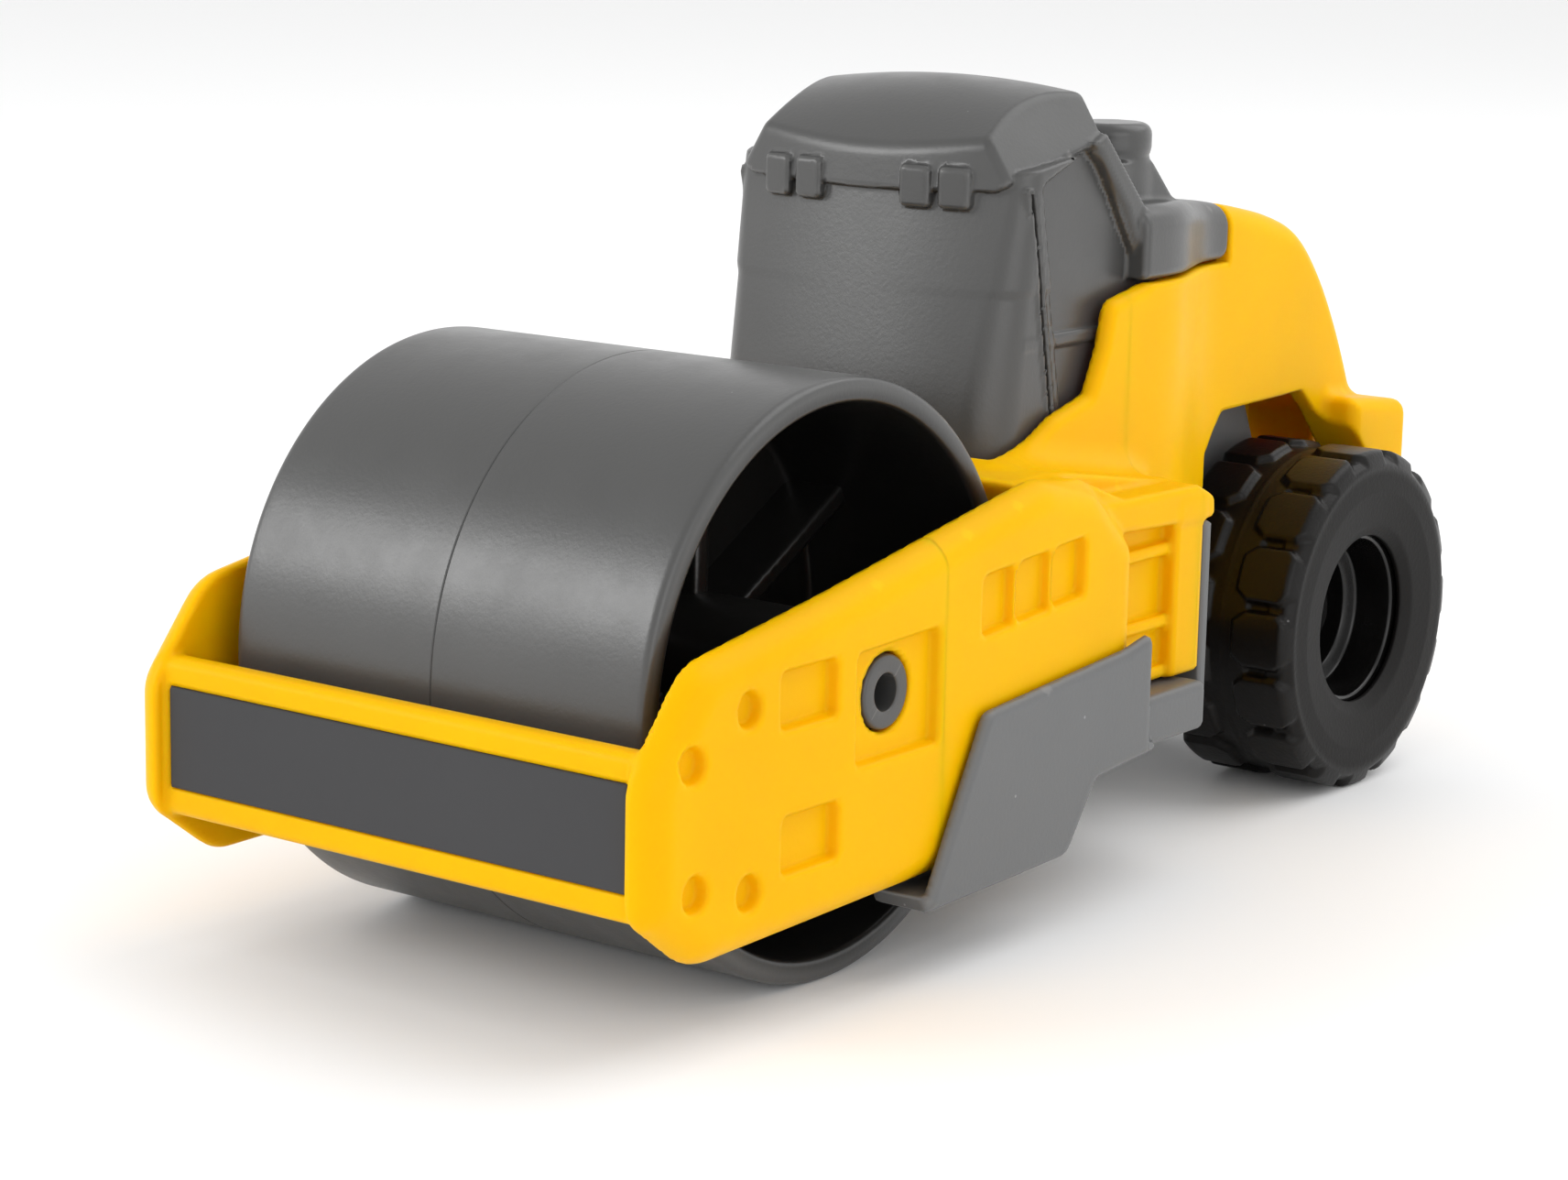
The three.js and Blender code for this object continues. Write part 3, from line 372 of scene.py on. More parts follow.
def hoodShell(x, y, z, inset=0.0):  # arch section whose width and top follow the length
    w = np.interp(y, *hoodLine["width"].T).astype(np.float32) - inset
    t = np.interp(y, *hoodLine["top"].T).astype(np.float32) - inset
    slope = np.interp(y + 0.5, *hoodLine["top"].T) - np.interp(y - 0.5, *hoodLine["top"].T)
    slope = slope.astype(np.float32)
    r = hoodLine["corner"] - 0.6 * inset
    return meet(np.abs(x) - w, (z - t) / np.sqrt(1 + slope ** 2), r)


def hoodBody(x, y, z):  # the arch within the flank's outline, joined to the bumper
    upper = meet(hoodShell(x, y, z), outline(y, z, flankEdge), 1.0)
    bumper = meet(outline(y, z, bumperEdge), np.abs(x) - hoodLine["bumper"], 1.3)
    return fuse(upper, bumper, 1.2)


def bodyHollows(x, y, z):  # everything that opens the body from inside or below
    ax = np.abs(x)
    seat = meet(meet(slab(y, 26.7, 51), 32.0 - z, 0.2), ax - 14.5, 0.2)
    saddle = meet(slab(y, 48.2, 67.5), 47.5 - z, 0.2) + 0 * ax
    hood = meet(hoodShell(x, y, z, middle["wall"]), 46.2 - y, 0.3)
    under = meet(meet(outline(y, z, hollowEdge), 26.2 - np.hypot(y, z - drumZ), 0.3), ax - 18.4, 0.4)
    arch = outline(y, z, archEdge) + 0 * ax
    out = np.minimum(np.minimum(seat, saddle), np.minimum(hood, under))
    return np.minimum(out, arch)


def bodyTowers(x, y, z):  # screw towers, cut to the hood's inside, and two cross walls
    tower = np.minimum(meet(sideHoles(x, y, screw["tower"]), slab(z, 13.8, 31), 0.3),
                       meet(middleHoles(x, y, screw["tower"]), slab(z, 11.5, 55), 0.3))
    tower = np.maximum(tower, np.minimum(hoodShell(x, y, z, 0.9), slab(y, 30, 45)))
    tower = carve(tower, meet(y - 67.5, 47 - z, 0.1), 0.1)
    wall = brick(x, y, z, (-14.2, 14.2), (44.4, 46.2), (16.3, 32), 0.2)
    rear = brick(x, y, z, (-7, 7), (92.9, 94.7), (14.3, 31), 0.3)
    return np.minimum(np.minimum(tower, wall), rear)


def bodyField(x, y, z):  # outside, less the hollows, plus towers and front, less the screw holes
    out = fuse(hoodBody(x, y, z), middleBody(x, y, z), 2.6)
    out = carve(out, bodyHollows(x, y, z), 0.3)
    out = fuse(out, bodyTowers(x, y, z), 0.3)
    front = fuse(sidePlates(x, y, z), crossbar(x, y, z), 0.5)
    out = fuse(out, front, 0.9)
    pilots = np.minimum(sideHoles(x, y, screw["pilot"]), middleHoles(x, y, screw["pilot"]))
    out = carve(out, meet(pilots, z - 22, 0.1), 0.2)
    return carve(out, meet(cabHoles(x, y, 1.4), slab(z, 25, 36), 0.1), 0.2)


# Cab moulding: each line below gives y, or half the width, at a height z.
cabGrid = dict(low=(-16.2, 26, 31.8), high=(16.2, 68, 65), step=0.34, cuts=[])
cabLine = dict(
    half=np.array([(30, 14.2), (47.4, 14.25), (48.2, 14.5), (60, 14.6)]),
    front=eased([(30, 27.5), (34.5, 27.6), (38, 28.1), (47.6, 29.9), (56, 31.4), (60, 32.0)], 4),
    bow=eased([(30, 0.2), (32, 0.4), (34.5, 0.9), (37.5, 1.8), (40, 2.0), (60, 2.1)], 3),
    rear=np.array([(30, 46.0), (33, 46.6), (37.5, 49.6), (47.8, 50.4), (54, 46.4), (60.4, 41.4), (64, 39)]),
    wall=1.6)
windowEdge = rounded([
    (38.2, 35), (33.3, 56.3, 0.7), (40.0, 58.9, 0.8), (42.2, 57.6, 1.0), (47.6, 49.8, 0.6), (49.3, 46.5),
    (46, 40), (40, 36)])
pillarEdge = rounded([
    (41.9, 60.2, 0.6), (48.2, 54.0, 3), (52.4, 47.8, 0.5), (49.4, 47.4, 0.5), (45.4, 53.8, 2), (40.2, 59.4)])
saddleEdge = rounded([(47.4, 47.8), (67.2, 47.8, 1.4), (67.2, 62), (47.4, 62)])
blockEdge = rounded([(46, 52), (59.0, 51.8), (58.9, 53.0, 0.3), (54.6, 57.0, 0.6), (46, 57.3)])


def lineAt(line, v):
    return np.interp(v, *line.T).astype(np.float32)


def fascia(x):  # front of the roof, bowed like the windscreen
    return 31.0 - 2.1 * (1 - (x / 14.5) ** 2)


def roofCap(x, y, z):  # crowned, falling to the front, bevelled at the sides, with a bowed fascia
    ax = np.abs(x)
    t = np.clip((40.5 - y) / 11.5, 0, 1.2)
    rise = 1 - t ** 2.0 - 0.02 * np.clip(y - 41, 0, 3) ** 2
    top = 59.0 + 5.2 * rise * (1 - 0.17 * (x / 12) ** 2)
    crown = (z - top) / np.sqrt(1 + (0.9 * t) ** 2 + (0.03 * x) ** 2)
    bevel = 0.827 * ax - 0.236 * y + 0.510 * z - 32.6
    front = fascia(x) + 0.1 * (z - 59) - y
    rear = (y - 42.6 + 0.3 * (z - 63) + 0.45 * np.clip(ax - 11, 0, 4)) / 1.1
    low = 55.7 + 0.55 * np.clip(ax - 12.2, 0, 2.4) + 0.19 * (y - 29.5) - z
    cap = meet(meet(crown, bevel, 0.35), meet(front, low, 0.3), 0.5)
    return meet(meet(cap, ax - 14.95, 0.3), rear, 0.4)


def cabMain(x, y, z):  # sides and back follow their lines, the screen bows by bow * (1 - (x / half)^2)
    ax = np.abs(x)
    w, f = lineAt(cabLine["half"], z), lineAt(cabLine["front"], z)
    screen = (f - lineAt(cabLine["bow"], z) * (1 - (x / w) ** 2) - y) / 1.03
    back = (y - lineAt(cabLine["rear"], z)) / 1.2
    lid = z - 57.2 - 0.15 * (y - 30)
    turn = np.interp(z, [34, 56], [3.6, 1.6]).astype(np.float32)
    return meet(meet(meet(ax - w, screen, turn), lid, 0.3), back, 0.8)


def pods(x, y, z):  # two pairs of roof lights
    ax = np.abs(x)
    out = None
    for low, high in ((3.9, 6.65), (7.35, 10.15)):
        front = fascia(x) - 0.75
        pod = meet(meet(slab(ax, low, high), slab(z, 54.3, 57.7), 0.55), meet(front - y, y - 32, 0.3), 0.4)
        out = pod if out is None else np.minimum(out, pod)
    return out


def intake(x, y, z):  # round barrel with a wider cap, on a block that slopes to the hood
    r = np.hypot(x - 8.5, y - 52.6)
    barrel = meet(r - 3.3, slab(z, 50, 59), 0.4)
    cap = meet(r - 3.55, slab(z, 57.2, 60.2), 1.0)
    block = meet(outline(y, z, blockEdge), slab(x, 5, 11.8), 0.5)
    return fuse(fuse(barrel, cap, 0.25), block, 0.5)


def cabField(x, y, z):  # cab and roof with windows, trim, cover and intake, less the hollow inside
    ax = np.abs(x)
    main, roof = cabMain(x, y, z), roofCap(x, y, z)
    out = np.minimum(main, roof)
    window = meet(outline(y, z, windowEdge), 13.75 - ax, 0.15)
    out = carve(out, window, 0.25)
    sill = brick(ax, y, z, (12, 14.15), (31.5, 43.5), (43.1, 44.3), 0.3)
    out = fuse(out, sill, 0.25)
    out = fuse(out, meet(outline(y, z, pillarEdge), slab(ax, 12.2, 15.05), 0.45), 0.3)
    seam = np.interp(z, [30, 56.5], [37.4, 31.9]).astype(np.float32)
    groove = meet(meet(np.abs(y - seam) - 0.2, slab(z, 31, 55.9), 0.1), 13.7 - ax, 0.1)
    ridge = meet(meet(np.abs(y - seam) - 0.62, slab(z, 32, 56.2), 0.2), slab(ax, 12, 14.42), 0.15)
    out = carve(fuse(out, ridge, 0.2), groove, 0.1)
    out = fuse(out, pods(x, y, z), 0.12)
    cover = meet(hoodShell(x, y, z), outline(y, z, saddleEdge), 0.6)
    out = fuse(out, cover, 0.3)
    out = fuse(out, intake(x, y, z), 0.5)
    within = meet(hoodShell(x, y, z, cabLine["wall"]), slab(y, 50.5, 70), 0.3)
    out = carve(out, np.minimum(np.minimum(main, roof) + cabLine["wall"], within), 0.2)
    boss = meet(cabHoles(x, y, screw["tower"]), slab(z, 32.3, 58), 0.3)
    out = fuse(out, meet(boss, np.minimum(main, roof) + 0.8, 0.1), 0.3)
    out = carve(out, meet(cabHoles(x, y, screw["pilot"]), z - 40.3, 0.1), 0.2)
    return meet(out, 32.3 - z, 0.25)


# Chassis: side panels, tray, wall behind the cab and the beam that holds the rear axle.
chassisGrid = dict(low=(-26.8, 2, 5), high=(26.8, 93.2, 35), step=0.37, cuts=[])
panel = dict(outside=26.2, inside=25.3)
panelEdge = rounded([
    (2.7, 5.4, 0.8), (22.2, 5.9, 2), (26.1, 11.3, 1.5), (33.9, 11.9, 0.5), (33.9, 21.8, 0.8), (30, 21.0, 1),
    (10.4, 19.4, 1.2)])
lipEdge = [(3.4, 5.4), (22, 5.9), (21.6, 7.0), (3, 6.6)]
webEdge = [(20, 6.2), (22.6, 6.4), (27, 11.9), (35.5, 11.9), (35.5, 12.6), (26, 12.6), (20.4, 7.0)]
beamEdge = rounded([
    (43, 9.6), (92.6, 9.6, 1), (92.6, 24, 2), (84, 26, 2), (80, 34.2, 1), (61, 34.2, 1), (58, 26, 2),
    (43, 26)])
beamCells = [  # (y, z) spans
    ((44.4, 74), (11.2, 60)), ((82, 91), (11.2, 60)), ((73, 83), (18.7, 60)), ((75.6, 80.4), (-5, 20.3))]


def chassisField(x, y, z):  # panels, tray, wall and beam, less the beam's cells, axle bore and screw holes
    ax = np.abs(x)
    skirt = meet(outline(y, z, panelEdge), ax - panel["outside"], 0.75)
    skirt = meet(skirt, panel["inside"] - ax, 0.35)
    under = meet(np.minimum(outline(y, z, lipEdge), outline(y, z, webEdge)), slab(ax, 21, 25.7), 0.2)
    tray = brick(x, y, z, (-25, 25), (33.5, 44.4), (11.9, 16.0), 0.7)
    tray = carve(tray, brick(x, y, z, (-19.2, 19.2), (35.1, 50), (13.5, 30), 0.3), 0.2)
    back = brick(ax, y, z, (22.4, 25.7), (33.5, 34.5), (11.9, 16.0), 0.2)
    tail = brick(x, y, z, (-23.2, 23.2), (40, 46.7), (11.9, 13.5), 0.3)
    wall = brick(x, y, z, (-22.9, 22.9), (46.5, 47.7), (11.9, 28.6), 0.3)
    out = fuse(fuse(skirt, under, 0.2), fuse(tray, back, 0.2), 0.2)
    out = fuse(out, fuse(tail, wall, 0.3), 0.3)
    beam = meet(meet(outline(y, z, beamEdge), ax - 7, 0.6), 46.5 - y, 0.1)
    for by, bz in beamCells:
        beam = carve(beam, brick(x, y, z, (-5.4, 5.4), by, bz, 0.4), 0.3)
    beam = carve(beam, disc(y, z, axleBack, wheelZ, 1.45) + 0 * ax, 0.2)
    out = fuse(out, beam, 0.5)
    out = carve(out, brick(x, y, z, (-5.4, 5.4), (45.5, 49.5), (15, 40), 0.3), 0.2)
    for hole, floor in ((sideHoles(x, y, 0), 11.9), (middleHoles(x, y, 0), 9.6)):
        out = carve(out, meet(hole - 1.35, z - floor - 4, 0.1), 0.15)
        out = carve(out, meet(hole - 2.35, z - floor - 0.5, 0.1), 0.15)
    return out


# Screw shape, the film on the front bar and the ribs inside the drum.
screwGrid = dict(low=(-2.3, -2.3, -1.6), high=(2.3, 2.3, 7.2), step=0.14)
filmGrid = dict(low=(-22.2, -27.5, 12.4), high=(22.2, -26.4, 20.8), step=0.24)
ribGrid = dict(low=(0.8, -21.5, 0.8), high=(7.4, 21.5, 44.2), step=0.5)


def screwField(x, y, z):  # head down, centred on the origin, seat at z 0
    r = np.hypot(x, y)
    head = meet(r - 2.1, slab(z, -1.4, 0), 0.35)
    ax, ay = np.abs(x), np.abs(y)
    cross = np.minimum(meet(ax - 0.28, ay - 1.1, 0.05), meet(ay - 0.28, ax - 1.1, 0.05))
    head = carve(head, meet(cross, z + 0.75, 0.05), 0.08)
    return np.minimum(head, meet(r - 1.1, slab(z, -0.2, 7), 0.2))


def filmField(x, y, z):  # thin plate in the bar's seat
    return brick(x, y, z, (-21.95, 21.95), (-27.04, -26.6), (12.75, 20.5), 0.06)


def ribField(x, y, z):  # three bars across the axis, 60 degrees apart, between two radii
    out = None
    for i in range(3):
        a = i * math.pi / 3
        across = y * math.cos(a) - (z - drumZ) * math.sin(a)
        bar = np.abs(across) - 0.8
        out = bar if out is None else np.minimum(out, bar)
    r = np.hypot(y, z - drumZ)
    return meet(meet(out, slab(x, 1.2, 7), 0.3), meet(r - 21.2, 4.6 - r, 0.1), 0.2)


# Plastics and steel.
def shades(name):
    made = bpy.data.materials.new(name)
    made.use_nodes = True
    tree = made.node_tree
    return made, tree, tree.nodes["Principled BSDF"]


def link(tree, a, b):
    tree.links.new(a, b)


def noise(tree, scale, detail, rough, coords):
    n = tree.nodes.new("ShaderNodeTexNoise")
    n.inputs["Scale"].default_value = scale
    n.inputs["Detail"].default_value = detail
    n.inputs["Roughness"].default_value = rough
    link(tree, coords, n.inputs["Vector"])
    return n.outputs["Fac"]


def ramp(tree, value, low, high, a=0.0, b=1.0):  # value from low..high mapped to a..b
    n = tree.nodes.new("ShaderNodeMapRange")
    for key, v in (("From Min", low), ("From Max", high), ("To Min", a), ("To Max", b)):
        n.inputs[key].default_value = v
    link(tree, value, n.inputs["Value"])
    return n.outputs["Result"]


def maths(tree, op, a, b):
    n = tree.nodes.new("ShaderNodeMath")
    n.operation = op
    for i, v in enumerate((a, b)):
        if isinstance(v, (int, float)):
            n.inputs[i].default_value = v
        else:
            link(tree, v, n.inputs[i])
    return n.outputs[0]


def blendColour(tree, factor, a, b):
    n = tree.nodes.new("ShaderNodeMix")
    n.data_type = "RGBA"
    link(tree, factor, n.inputs["Factor"])
    for i, v in ((6, a), (7, b)):
        if isinstance(v, (tuple, list)):
            n.inputs[i].default_value = (*v[:3], 1)
        else:
            link(tree, v, n.inputs[i])
    return n.outputs[2]


# colour and worn are linear, grain is the bump height in millimetres, specks is the share of pale dust.
def plastic(name, colour, worn, rough, grain, specks=0.0, glow=None, sheen=0.5):
    made, tree, shader = shades(name)
    where = tree.nodes.new("ShaderNodeTexCoord").outputs["Object"]
    cloud = noise(tree, 60, 3, 0.5, where)
    fine = noise(tree, 2600, 3, 0.6, where)
    dim, bright = tuple(c * 0.95 for c in colour), tuple(c * 1.04 for c in colour)
    body = blendColour(tree, ramp(tree, cloud, 0.3, 0.7), dim, bright)
    pointed = tree.nodes.new("ShaderNodeNewGeometry").outputs["Pointiness"]
    body = blendColour(tree, ramp(tree, pointed, 0.53, 0.62, 0, 0.55), body, worn)
    if specks:
        cells = tree.nodes.new("ShaderNodeTexVoronoi")
        cells.inputs["Scale"].default_value = 420
        link(tree, where, cells.inputs["Vector"])
        dot = maths(tree, "LESS_THAN", cells.outputs["Distance"], 0.055)
        pick = tree.nodes.new("ShaderNodeSeparateColor")
        link(tree, cells.outputs["Color"], pick.inputs[0])
        dust = maths(tree, "MULTIPLY", dot, maths(tree, "LESS_THAN", pick.outputs[0], specks))
        pale = tuple(min(1, c * 1.6 + 0.16) for c in colour)
        body = blendColour(tree, maths(tree, "MULTIPLY", dust, 0.55), body, pale)
    paintedShade = tree.nodes.new("ShaderNodeAttribute")  # painted shade: 1 inside the drum, where the colour is blended towards near-black to stand in for the shade there
    paintedShade.attribute_name = "paintedShade"
    body = blendColour(tree, maths(tree, "MULTIPLY", paintedShade.outputs["Fac"], 0.85), body, (0.004, 0.0035, 0.003))
    link(tree, body, shader.inputs["Base Color"])
    patches = noise(tree, 240, 5, 0.65, where)
    link(tree, ramp(tree, patches, 0.3, 0.7, rough - 0.04, rough + 0.04), shader.inputs["Roughness"])
    bump = tree.nodes.new("ShaderNodeBump")
    bump.inputs["Strength"].default_value = 1.0
    bump.inputs["Distance"].default_value = 0.001 * grain
    link(tree, fine, bump.inputs["Height"])
    link(tree, bump.outputs["Normal"], shader.inputs["Normal"])
    shader.inputs["Specular IOR Level"].default_value = sheen
    for key, value in (glow or {}).items():
        shader.inputs[f"Subsurface {key}"].default_value = value
    return made


finish = dict(
    yellowPlastic=dict(colour=(0.81, 0.425, 0.0), worn=(0.9, 0.51, 0.003), rough=0.4, grain=0.012, sheen=0.06,
                       glow=dict(Weight=0.4, Radius=(1.0, 0.36, 0.02), Scale=0.002)),
    darkGreyPlastic=dict(colour=(0.05, 0.05, 0.049), worn=(0.14, 0.137, 0.132), rough=0.33, grain=0.014,
                         specks=0.05, sheen=0.6),
    lightGreyPlastic=dict(colour=(0.115, 0.118, 0.12), worn=(0.2, 0.2, 0.2), rough=0.4, grain=0.016,
                          specks=0.03, sheen=0.4),
    labelFilm=dict(colour=(0.05, 0.05, 0.052), worn=(0.06, 0.06, 0.06), rough=0.6, grain=0.004, sheen=0.15),
    rimPlastic=dict(colour=(0.003, 0.0028, 0.0027), worn=(0.008, 0.008, 0.008), rough=0.24, grain=0.006,
                    sheen=0.4),
    brightSteel=dict(colour=(0.62, 0.62, 0.62), worn=(0.7, 0.7, 0.7), rough=0.3, grain=0.004),
    tyreVinyl=dict(colour=(0.0035, 0.0028, 0.0024), worn=(0.008, 0.007, 0.006), rough=0.5, grain=0.03,
                   specks=0.05, sheen=0.22))
sidewallRough, treadRough = 0.58, 0.36
yellow, darkGrey, lightGrey, labelFilm, rimPlastic, steel, tyreVinyl = [
    plastic(name, **values) for name, values in finish.items()]
steel.node_tree.nodes["Principled BSDF"].inputs["Metallic"].default_value = 1.0



def glossByTread(tree):  # the tread attribute is 1 on the glossy blocks and 0 on the matte sidewall
    tread = tree.nodes.new("ShaderNodeAttribute")
    tread.attribute_name = "tread"
    rough = ramp(tree, tread.outputs["Fac"], 0, 1, sidewallRough, treadRough)
    link(tree, rough, tree.nodes["Principled BSDF"].inputs["Roughness"])


glossByTread(tyreVinyl.node_tree)
print("finishes made")

# Pieces that belong to the hull.
parts(bodyField, bodyGrid, ["body_front", "body_middle", "body_rear"],
      material=yellow, body="hull", stands=["body_shell"], slot="yellow_plastic")
print("body drawn")
parts(cabField, cabGrid, ["cab"],
      material=darkGrey, body="hull", stands=["cab_moulding"], slot="dark_grey_plastic")
print("cab drawn")
parts(chassisField, chassisGrid, ["chassis_frame"],
      material=lightGrey, body="hull", stands=["chassis"], slot="light_grey_plastic")
print("chassis drawn")

film, filmQuads, filmNormals = draw(filmField, **filmGrid)
solid("crossbar_label", film, filmQuads, labelFilm, "hull", ["front_label"], "label_film", filmNormals)
screwPts, screwQuads, screwNormals = draw(screwField, **screwGrid)
for node, key, side in (
        ("chassis_screw_1", "side", -1), ("chassis_screw_2", "side", 1), ("chassis_screw_3", "front", 1),
        ("chassis_screw_4", "back", 1), ("cab_screw_1", "cab", -1), ("cab_screw_2", "cab", 1)):
    seat = np.array(screw[key], np.float32) * np.array([side, 1, 1], np.float32)
    solid(f"{node}_steel", screwPts + seat, screwQuads, steel, "hull", [node], "screw_steel", screwNormals)
print("label and screws drawn")

# Drum half: rim, outer face, seam at the mid-plane, web, hub tube and hollow stub axle.
drum = dict(
    radius=22.5, half=19.6, wall=1.9, hub=5.0, hubEnd=22.0, stub=2.8, stubEnd=24.0, bore=1.4, web=1.85,
    seam=0.01, spacing=0.9, turns=360)


def drumProfile():  # radius and x from the mid-plane outwards, then back along the inside
    d = drum
    inner = d["radius"] - d["wall"]
    line = [
        (0.01, d["seam"]), (d["radius"] - 0.05, d["seam"]), (d["radius"], d["seam"] + 0.1, 0.05),
        (d["radius"], d["half"], 0.75), (inner, d["half"], 0.55), (inner - 0.25, d["web"], 0.8),
        (d["hub"], d["web"], 0.7), (d["hub"], d["hubEnd"] - 0.1, 0.4), (d["stub"], d["hubEnd"]),
        (d["stub"], d["stubEnd"], 0.35), (d["bore"], d["stubEnd"], 0.2), (d["bore"], 6), (0.01, 6)]
    return smoothLine(line, d["spacing"])


for side, name in ((1, "left"), (-1, "right")):
    profile = drumProfile()
    pts, quads = spun(profile, drum["turns"])
    pts[:, 2] += drumZ
    pts[:, 0] *= side
    if side > 0:
        quads = quads[:, ::-1]
    # painted shade: this mask darkens the plastic inside the drum wall to stand in for the shade in the drum
    within = np.clip((drum["radius"] - drum["wall"] / 2 - profile[:, 0]) / 0.4, 0, 1)
    within = within * (np.abs(profile[:, 1]) < 20.5)
    solid(f"drum_{name}", pts, quads, darkGrey, "drum", [f"drum_half_{name}"], "dark_grey_plastic",
          tones={"paintedShade": np.repeat(within, drum["turns"])})
    tally(f"drum_{name}", quads)
    ribs, ribQuads, ribNormals = draw(ribField, **ribGrid)
    flip = np.array([side, 1, 1], np.float32)
    # painted shade: the ribs sit inside the drum, so they are darkened all over
    solid(f"drum_ribs_{name}", ribs * flip, ribQuads[:, ::side], darkGrey, "drum", [],
          "dark_grey_plastic", ribNormals * flip, tones={"paintedShade": np.ones(len(ribs))})
print("drum drawn")

# Tyre: sidewalls, shoulders and a tread of two rows of rounded hexagon blocks beside a plain band.
tyre = dict(
    radius=15.3, inner=8.0, outer=22.1, bore=9.6, blocks=16, height=0.6, long=2.5, wide=2.75, edge=0.42,
    rows=(11.1, 19.2), pitDepth=0.35, seamHeight=0.06, spacing=0.22, turns=448)


def treadHeight(r, x, angle):  # 1 on a hexagon block, 0 in the grooves, with a smooth step between them
    d = tyre
    out = np.zeros_like(r)
    pitch = 2 * math.pi / d["blocks"]
    for k, row in enumerate(d["rows"]):
        a = (angle / pitch + (0.5 if k else 0.0)) % 1 - 0.5
        s = np.abs(a) * pitch * d["radius"]
        u = np.abs(x - row)
        hexagon = np.maximum(np.maximum(s - d["long"], u - d["wide"]), 0.78 * s + 0.62 * u - 2.95)
        out = np.maximum(out, 1 - np.clip(hexagon / d["edge"] + 0.5, 0, 1))
    return out * out * (3 - 2 * out)


def tyreProfile():  # closed section, from the bore round the sidewalls and tread
    d = tyre
    base = d["radius"] - d["height"]
    line = [
        (d["bore"], 20.7), (d["bore"], d["inner"] + 0.6, 0.4), (d["bore"] + 0.7, d["inner"], 0.4),
        (13.3, d["inner"], 1.6), (base, 9.2, 1.1), (base, 21.3, 0.8), (14.0, 22.05, 0.7),
        (11.6, d["outer"], 2), (8.6, 21.7, 1.2), (7.5, 21.1, 0.5), (7.6, 20.7)]
    return smoothLine(line, d["spacing"], closed=True)


def tyreLift(r, x, angle):  # on the tread: raised blocks, a pit in each outer one and a thin mould seam
    d = tyre
    base = d["radius"] - d["height"]
    onTread = np.clip((r - base + 1.6) / 0.9, 0, 1)
    onTread = onTread * np.clip((x - 8.4) / 0.8, 0, 1) * np.clip((d["outer"] - x) / 0.5, 0, 1)
    raised = d["height"] * treadHeight(r, x, angle)
    slot = np.abs(((angle / (2 * math.pi) * d["blocks"]) % 1) - 0.5) * 2 * math.pi / d["blocks"] * d["radius"]
    pit = d["pitDepth"] * (1 - np.clip(np.maximum(slot - 0.45, np.abs(x - 18.6) - 1.0) / 0.3 + 0.5, 0, 1))
    seam = d["seamHeight"] * np.exp(-((x - 15.05) / 0.12) ** 2)
    return (raised - pit + seam) * onTread


rim = dict(spacing=0.35, turns=160)
axle = dict(radius=1.23, half=15.6, round=0.25, spacing=0.4, turns=48)


def rimProfile():  # hub in the middle, dished face, then the seat for the tyre
    line = [
        (0.01, 10.0), (3.4, 9.5, 0.3), (3.4, 12.8, 0.3), (7.6, 12.8, 0.3), (7.6, 9.2, 0.2), (9.3, 9.2, 0.2),
        (9.3, 20.4, 0.2), (7.1, 20.4, 0.35), (6.8, 16.9, 0.4), (5.5, 16.4, 0.35), (5.3, 14.4, 0.4),
        (2.9, 14.4, 0.5), (2.7, 16.4, 0.5), (0.01, 16.5)]
    return smoothLine(line, rim["spacing"])


for side, name in ((1, "left"), (-1, "right")):
    for kind, profile, lift, turns, looks, slotName in (
            ("tyre", tyreProfile(), tyreLift, tyre["turns"], tyreVinyl, "tyre_vinyl"),
            ("rim", rimProfile(), None, rim["turns"], rimPlastic, "rim_plastic")):
        pts, quads = spun(profile, turns, lift=lift)
        tread = np.repeat(np.clip((profile[:, 0] - 13.2) / 0.6, 0, 1), turns)
        pts[:, 0] *= side
        pts += np.array([0, axleBack, wheelZ])
        if side > 0:
            quads = quads[:, ::-1]
        solid(f"{kind}_{name}_wheel", pts, quads, looks, "rear_wheels", [f"{kind}_{name}"], slotName,
              tones={"tread": tread} if kind == "tyre" else None)
        tally(f"{kind}_{name}", quads)
end = axle["half"]
rod = [(0.01, -end), (axle["radius"], -end, axle["round"]), (axle["radius"], end, axle["round"]), (0.01, end)]
pts, quads = spun(smoothLine(rod, axle["spacing"]), axle["turns"])
pts += np.array([0, axleBack, wheelZ])
solid("axle_rod", pts, quads[:, ::-1], steel, "rear_wheels", ["rear_axle"], "axle_steel")
print("wheels drawn")

# Floor, lights, sky and camera.
floor = bpy.data.meshes.new("floor")
floor.from_pydata([(-3, -3, 0), (3, -3, 0), (3, 3, 0), (-3, 3, 0)], [], [(0, 1, 2, 3)])
ground = bpy.data.objects.new("floor", floor)
bpy.context.scene.collection.objects.link(ground)
paper, tree, shader = shades("paper")
shader.inputs["Base Color"].default_value = (0.93, 0.93, 0.93, 1)
shader.inputs["Roughness"].default_value = 0.6
floor.materials.append(paper)


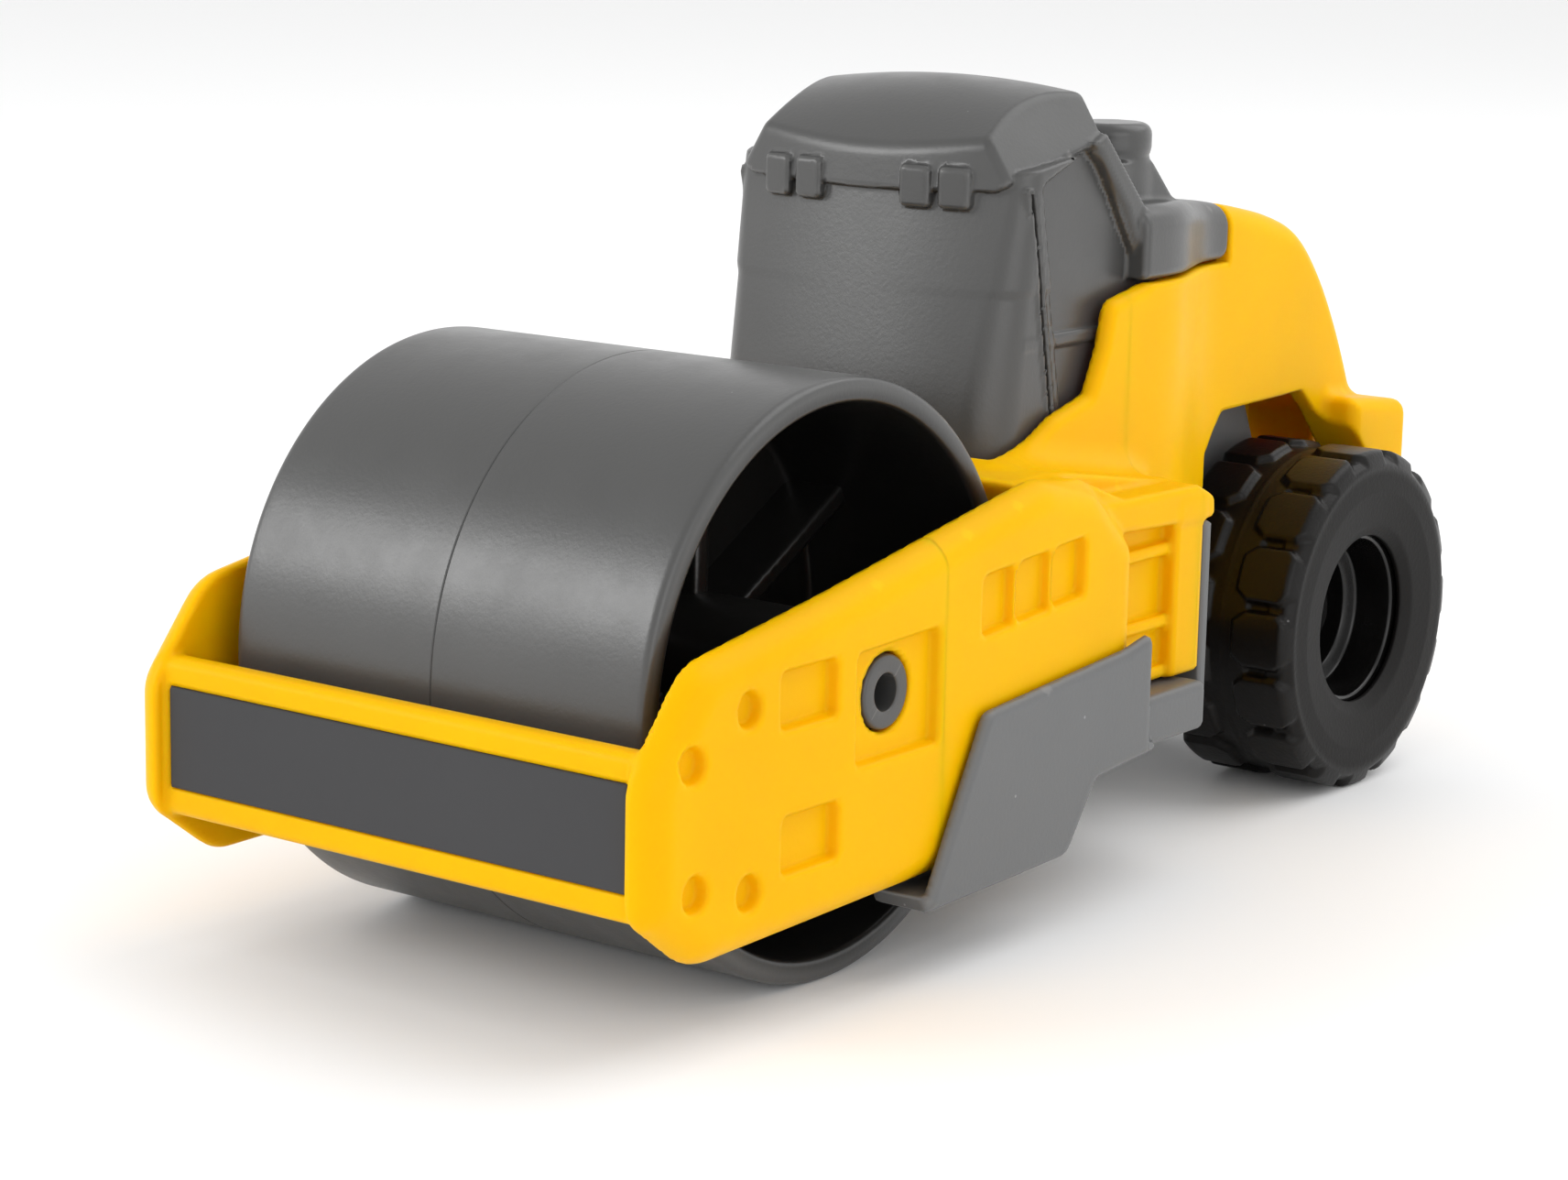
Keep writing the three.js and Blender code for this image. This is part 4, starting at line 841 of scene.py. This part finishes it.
def softBox(name, place, aim, width, height, power):  # metres and watts
    lamp = bpy.data.lights.new(name, "AREA")
    lamp.shape = "RECTANGLE"
    lamp.size, lamp.size_y = width, height
    lamp.energy = power
    made = bpy.data.objects.new(name, lamp)
    bpy.context.scene.collection.objects.link(made)
    made.location = Vector(place)
    made.rotation_euler = (Vector(aim) - Vector(place)).to_track_quat("-Z", "Y").to_euler()


# The sky's strength goes from horizon to overhead between the two bands.
studio = dict(horizon=1.25, overhead=0.82, lowBand=0.15, highBand=0.75)
softBox("topBox", (0.3, 0.4, 0.75), (0, 0, 0.02), 0.8, 0.7, 3.0)
softBox("frontBox", (-0.54, -0.70, 0.42), (0, 0, 0.03), 0.5, 0.34, 3.2)
softBox("sideBox", (0.8, -0.35, 0.3), (0, 0, 0.03), 0.6, 0.5, 1.0)

world = bpy.data.worlds.new("studio")
bpy.context.scene.world = world
world.use_nodes = True
sky = world.node_tree
toward = sky.nodes.new("ShaderNodeSeparateXYZ")
link(sky, sky.nodes.new("ShaderNodeTexCoord").outputs["Generated"], toward.inputs[0])
glow = ramp(sky, toward.outputs["Z"], studio["lowBand"], studio["highBand"], studio["horizon"], studio["overhead"])
link(sky, glow, sky.nodes["Background"].inputs["Strength"])
sky.nodes["Background"].inputs["Color"].default_value = (1, 1, 1, 1)
bpy.context.scene.view_settings.view_transform = "Standard"

lens = dict(place=(173.41, -212.91, 82.85), aim=(7.193, 9.880, 26.235), roll=1.205, focal=84.58002, sensor=36)
eye = bpy.data.cameras.new("camera")
camera = bpy.data.objects.new("camera", eye)
bpy.context.scene.collection.objects.link(camera)
bpy.context.scene.camera = camera
eye.lens, eye.sensor_width = lens["focal"], lens["sensor"]
eye.clip_start, eye.clip_end = 0.01, 20
camera.location = spot(*lens["place"])
look = (spot(*lens["aim"]) - camera.location).normalized()
across = look.cross(Vector((0, 0, 1))).normalized()
up = across.cross(look)
roll = math.radians(lens["roll"])
right = math.cos(roll) * across + math.sin(roll) * up
top = -math.sin(roll) * across + math.cos(roll) * up
camera.rotation_mode = "QUATERNION"
camera.rotation_quaternion = Matrix((right, top, -look)).transposed().to_quaternion()
print("stage set")
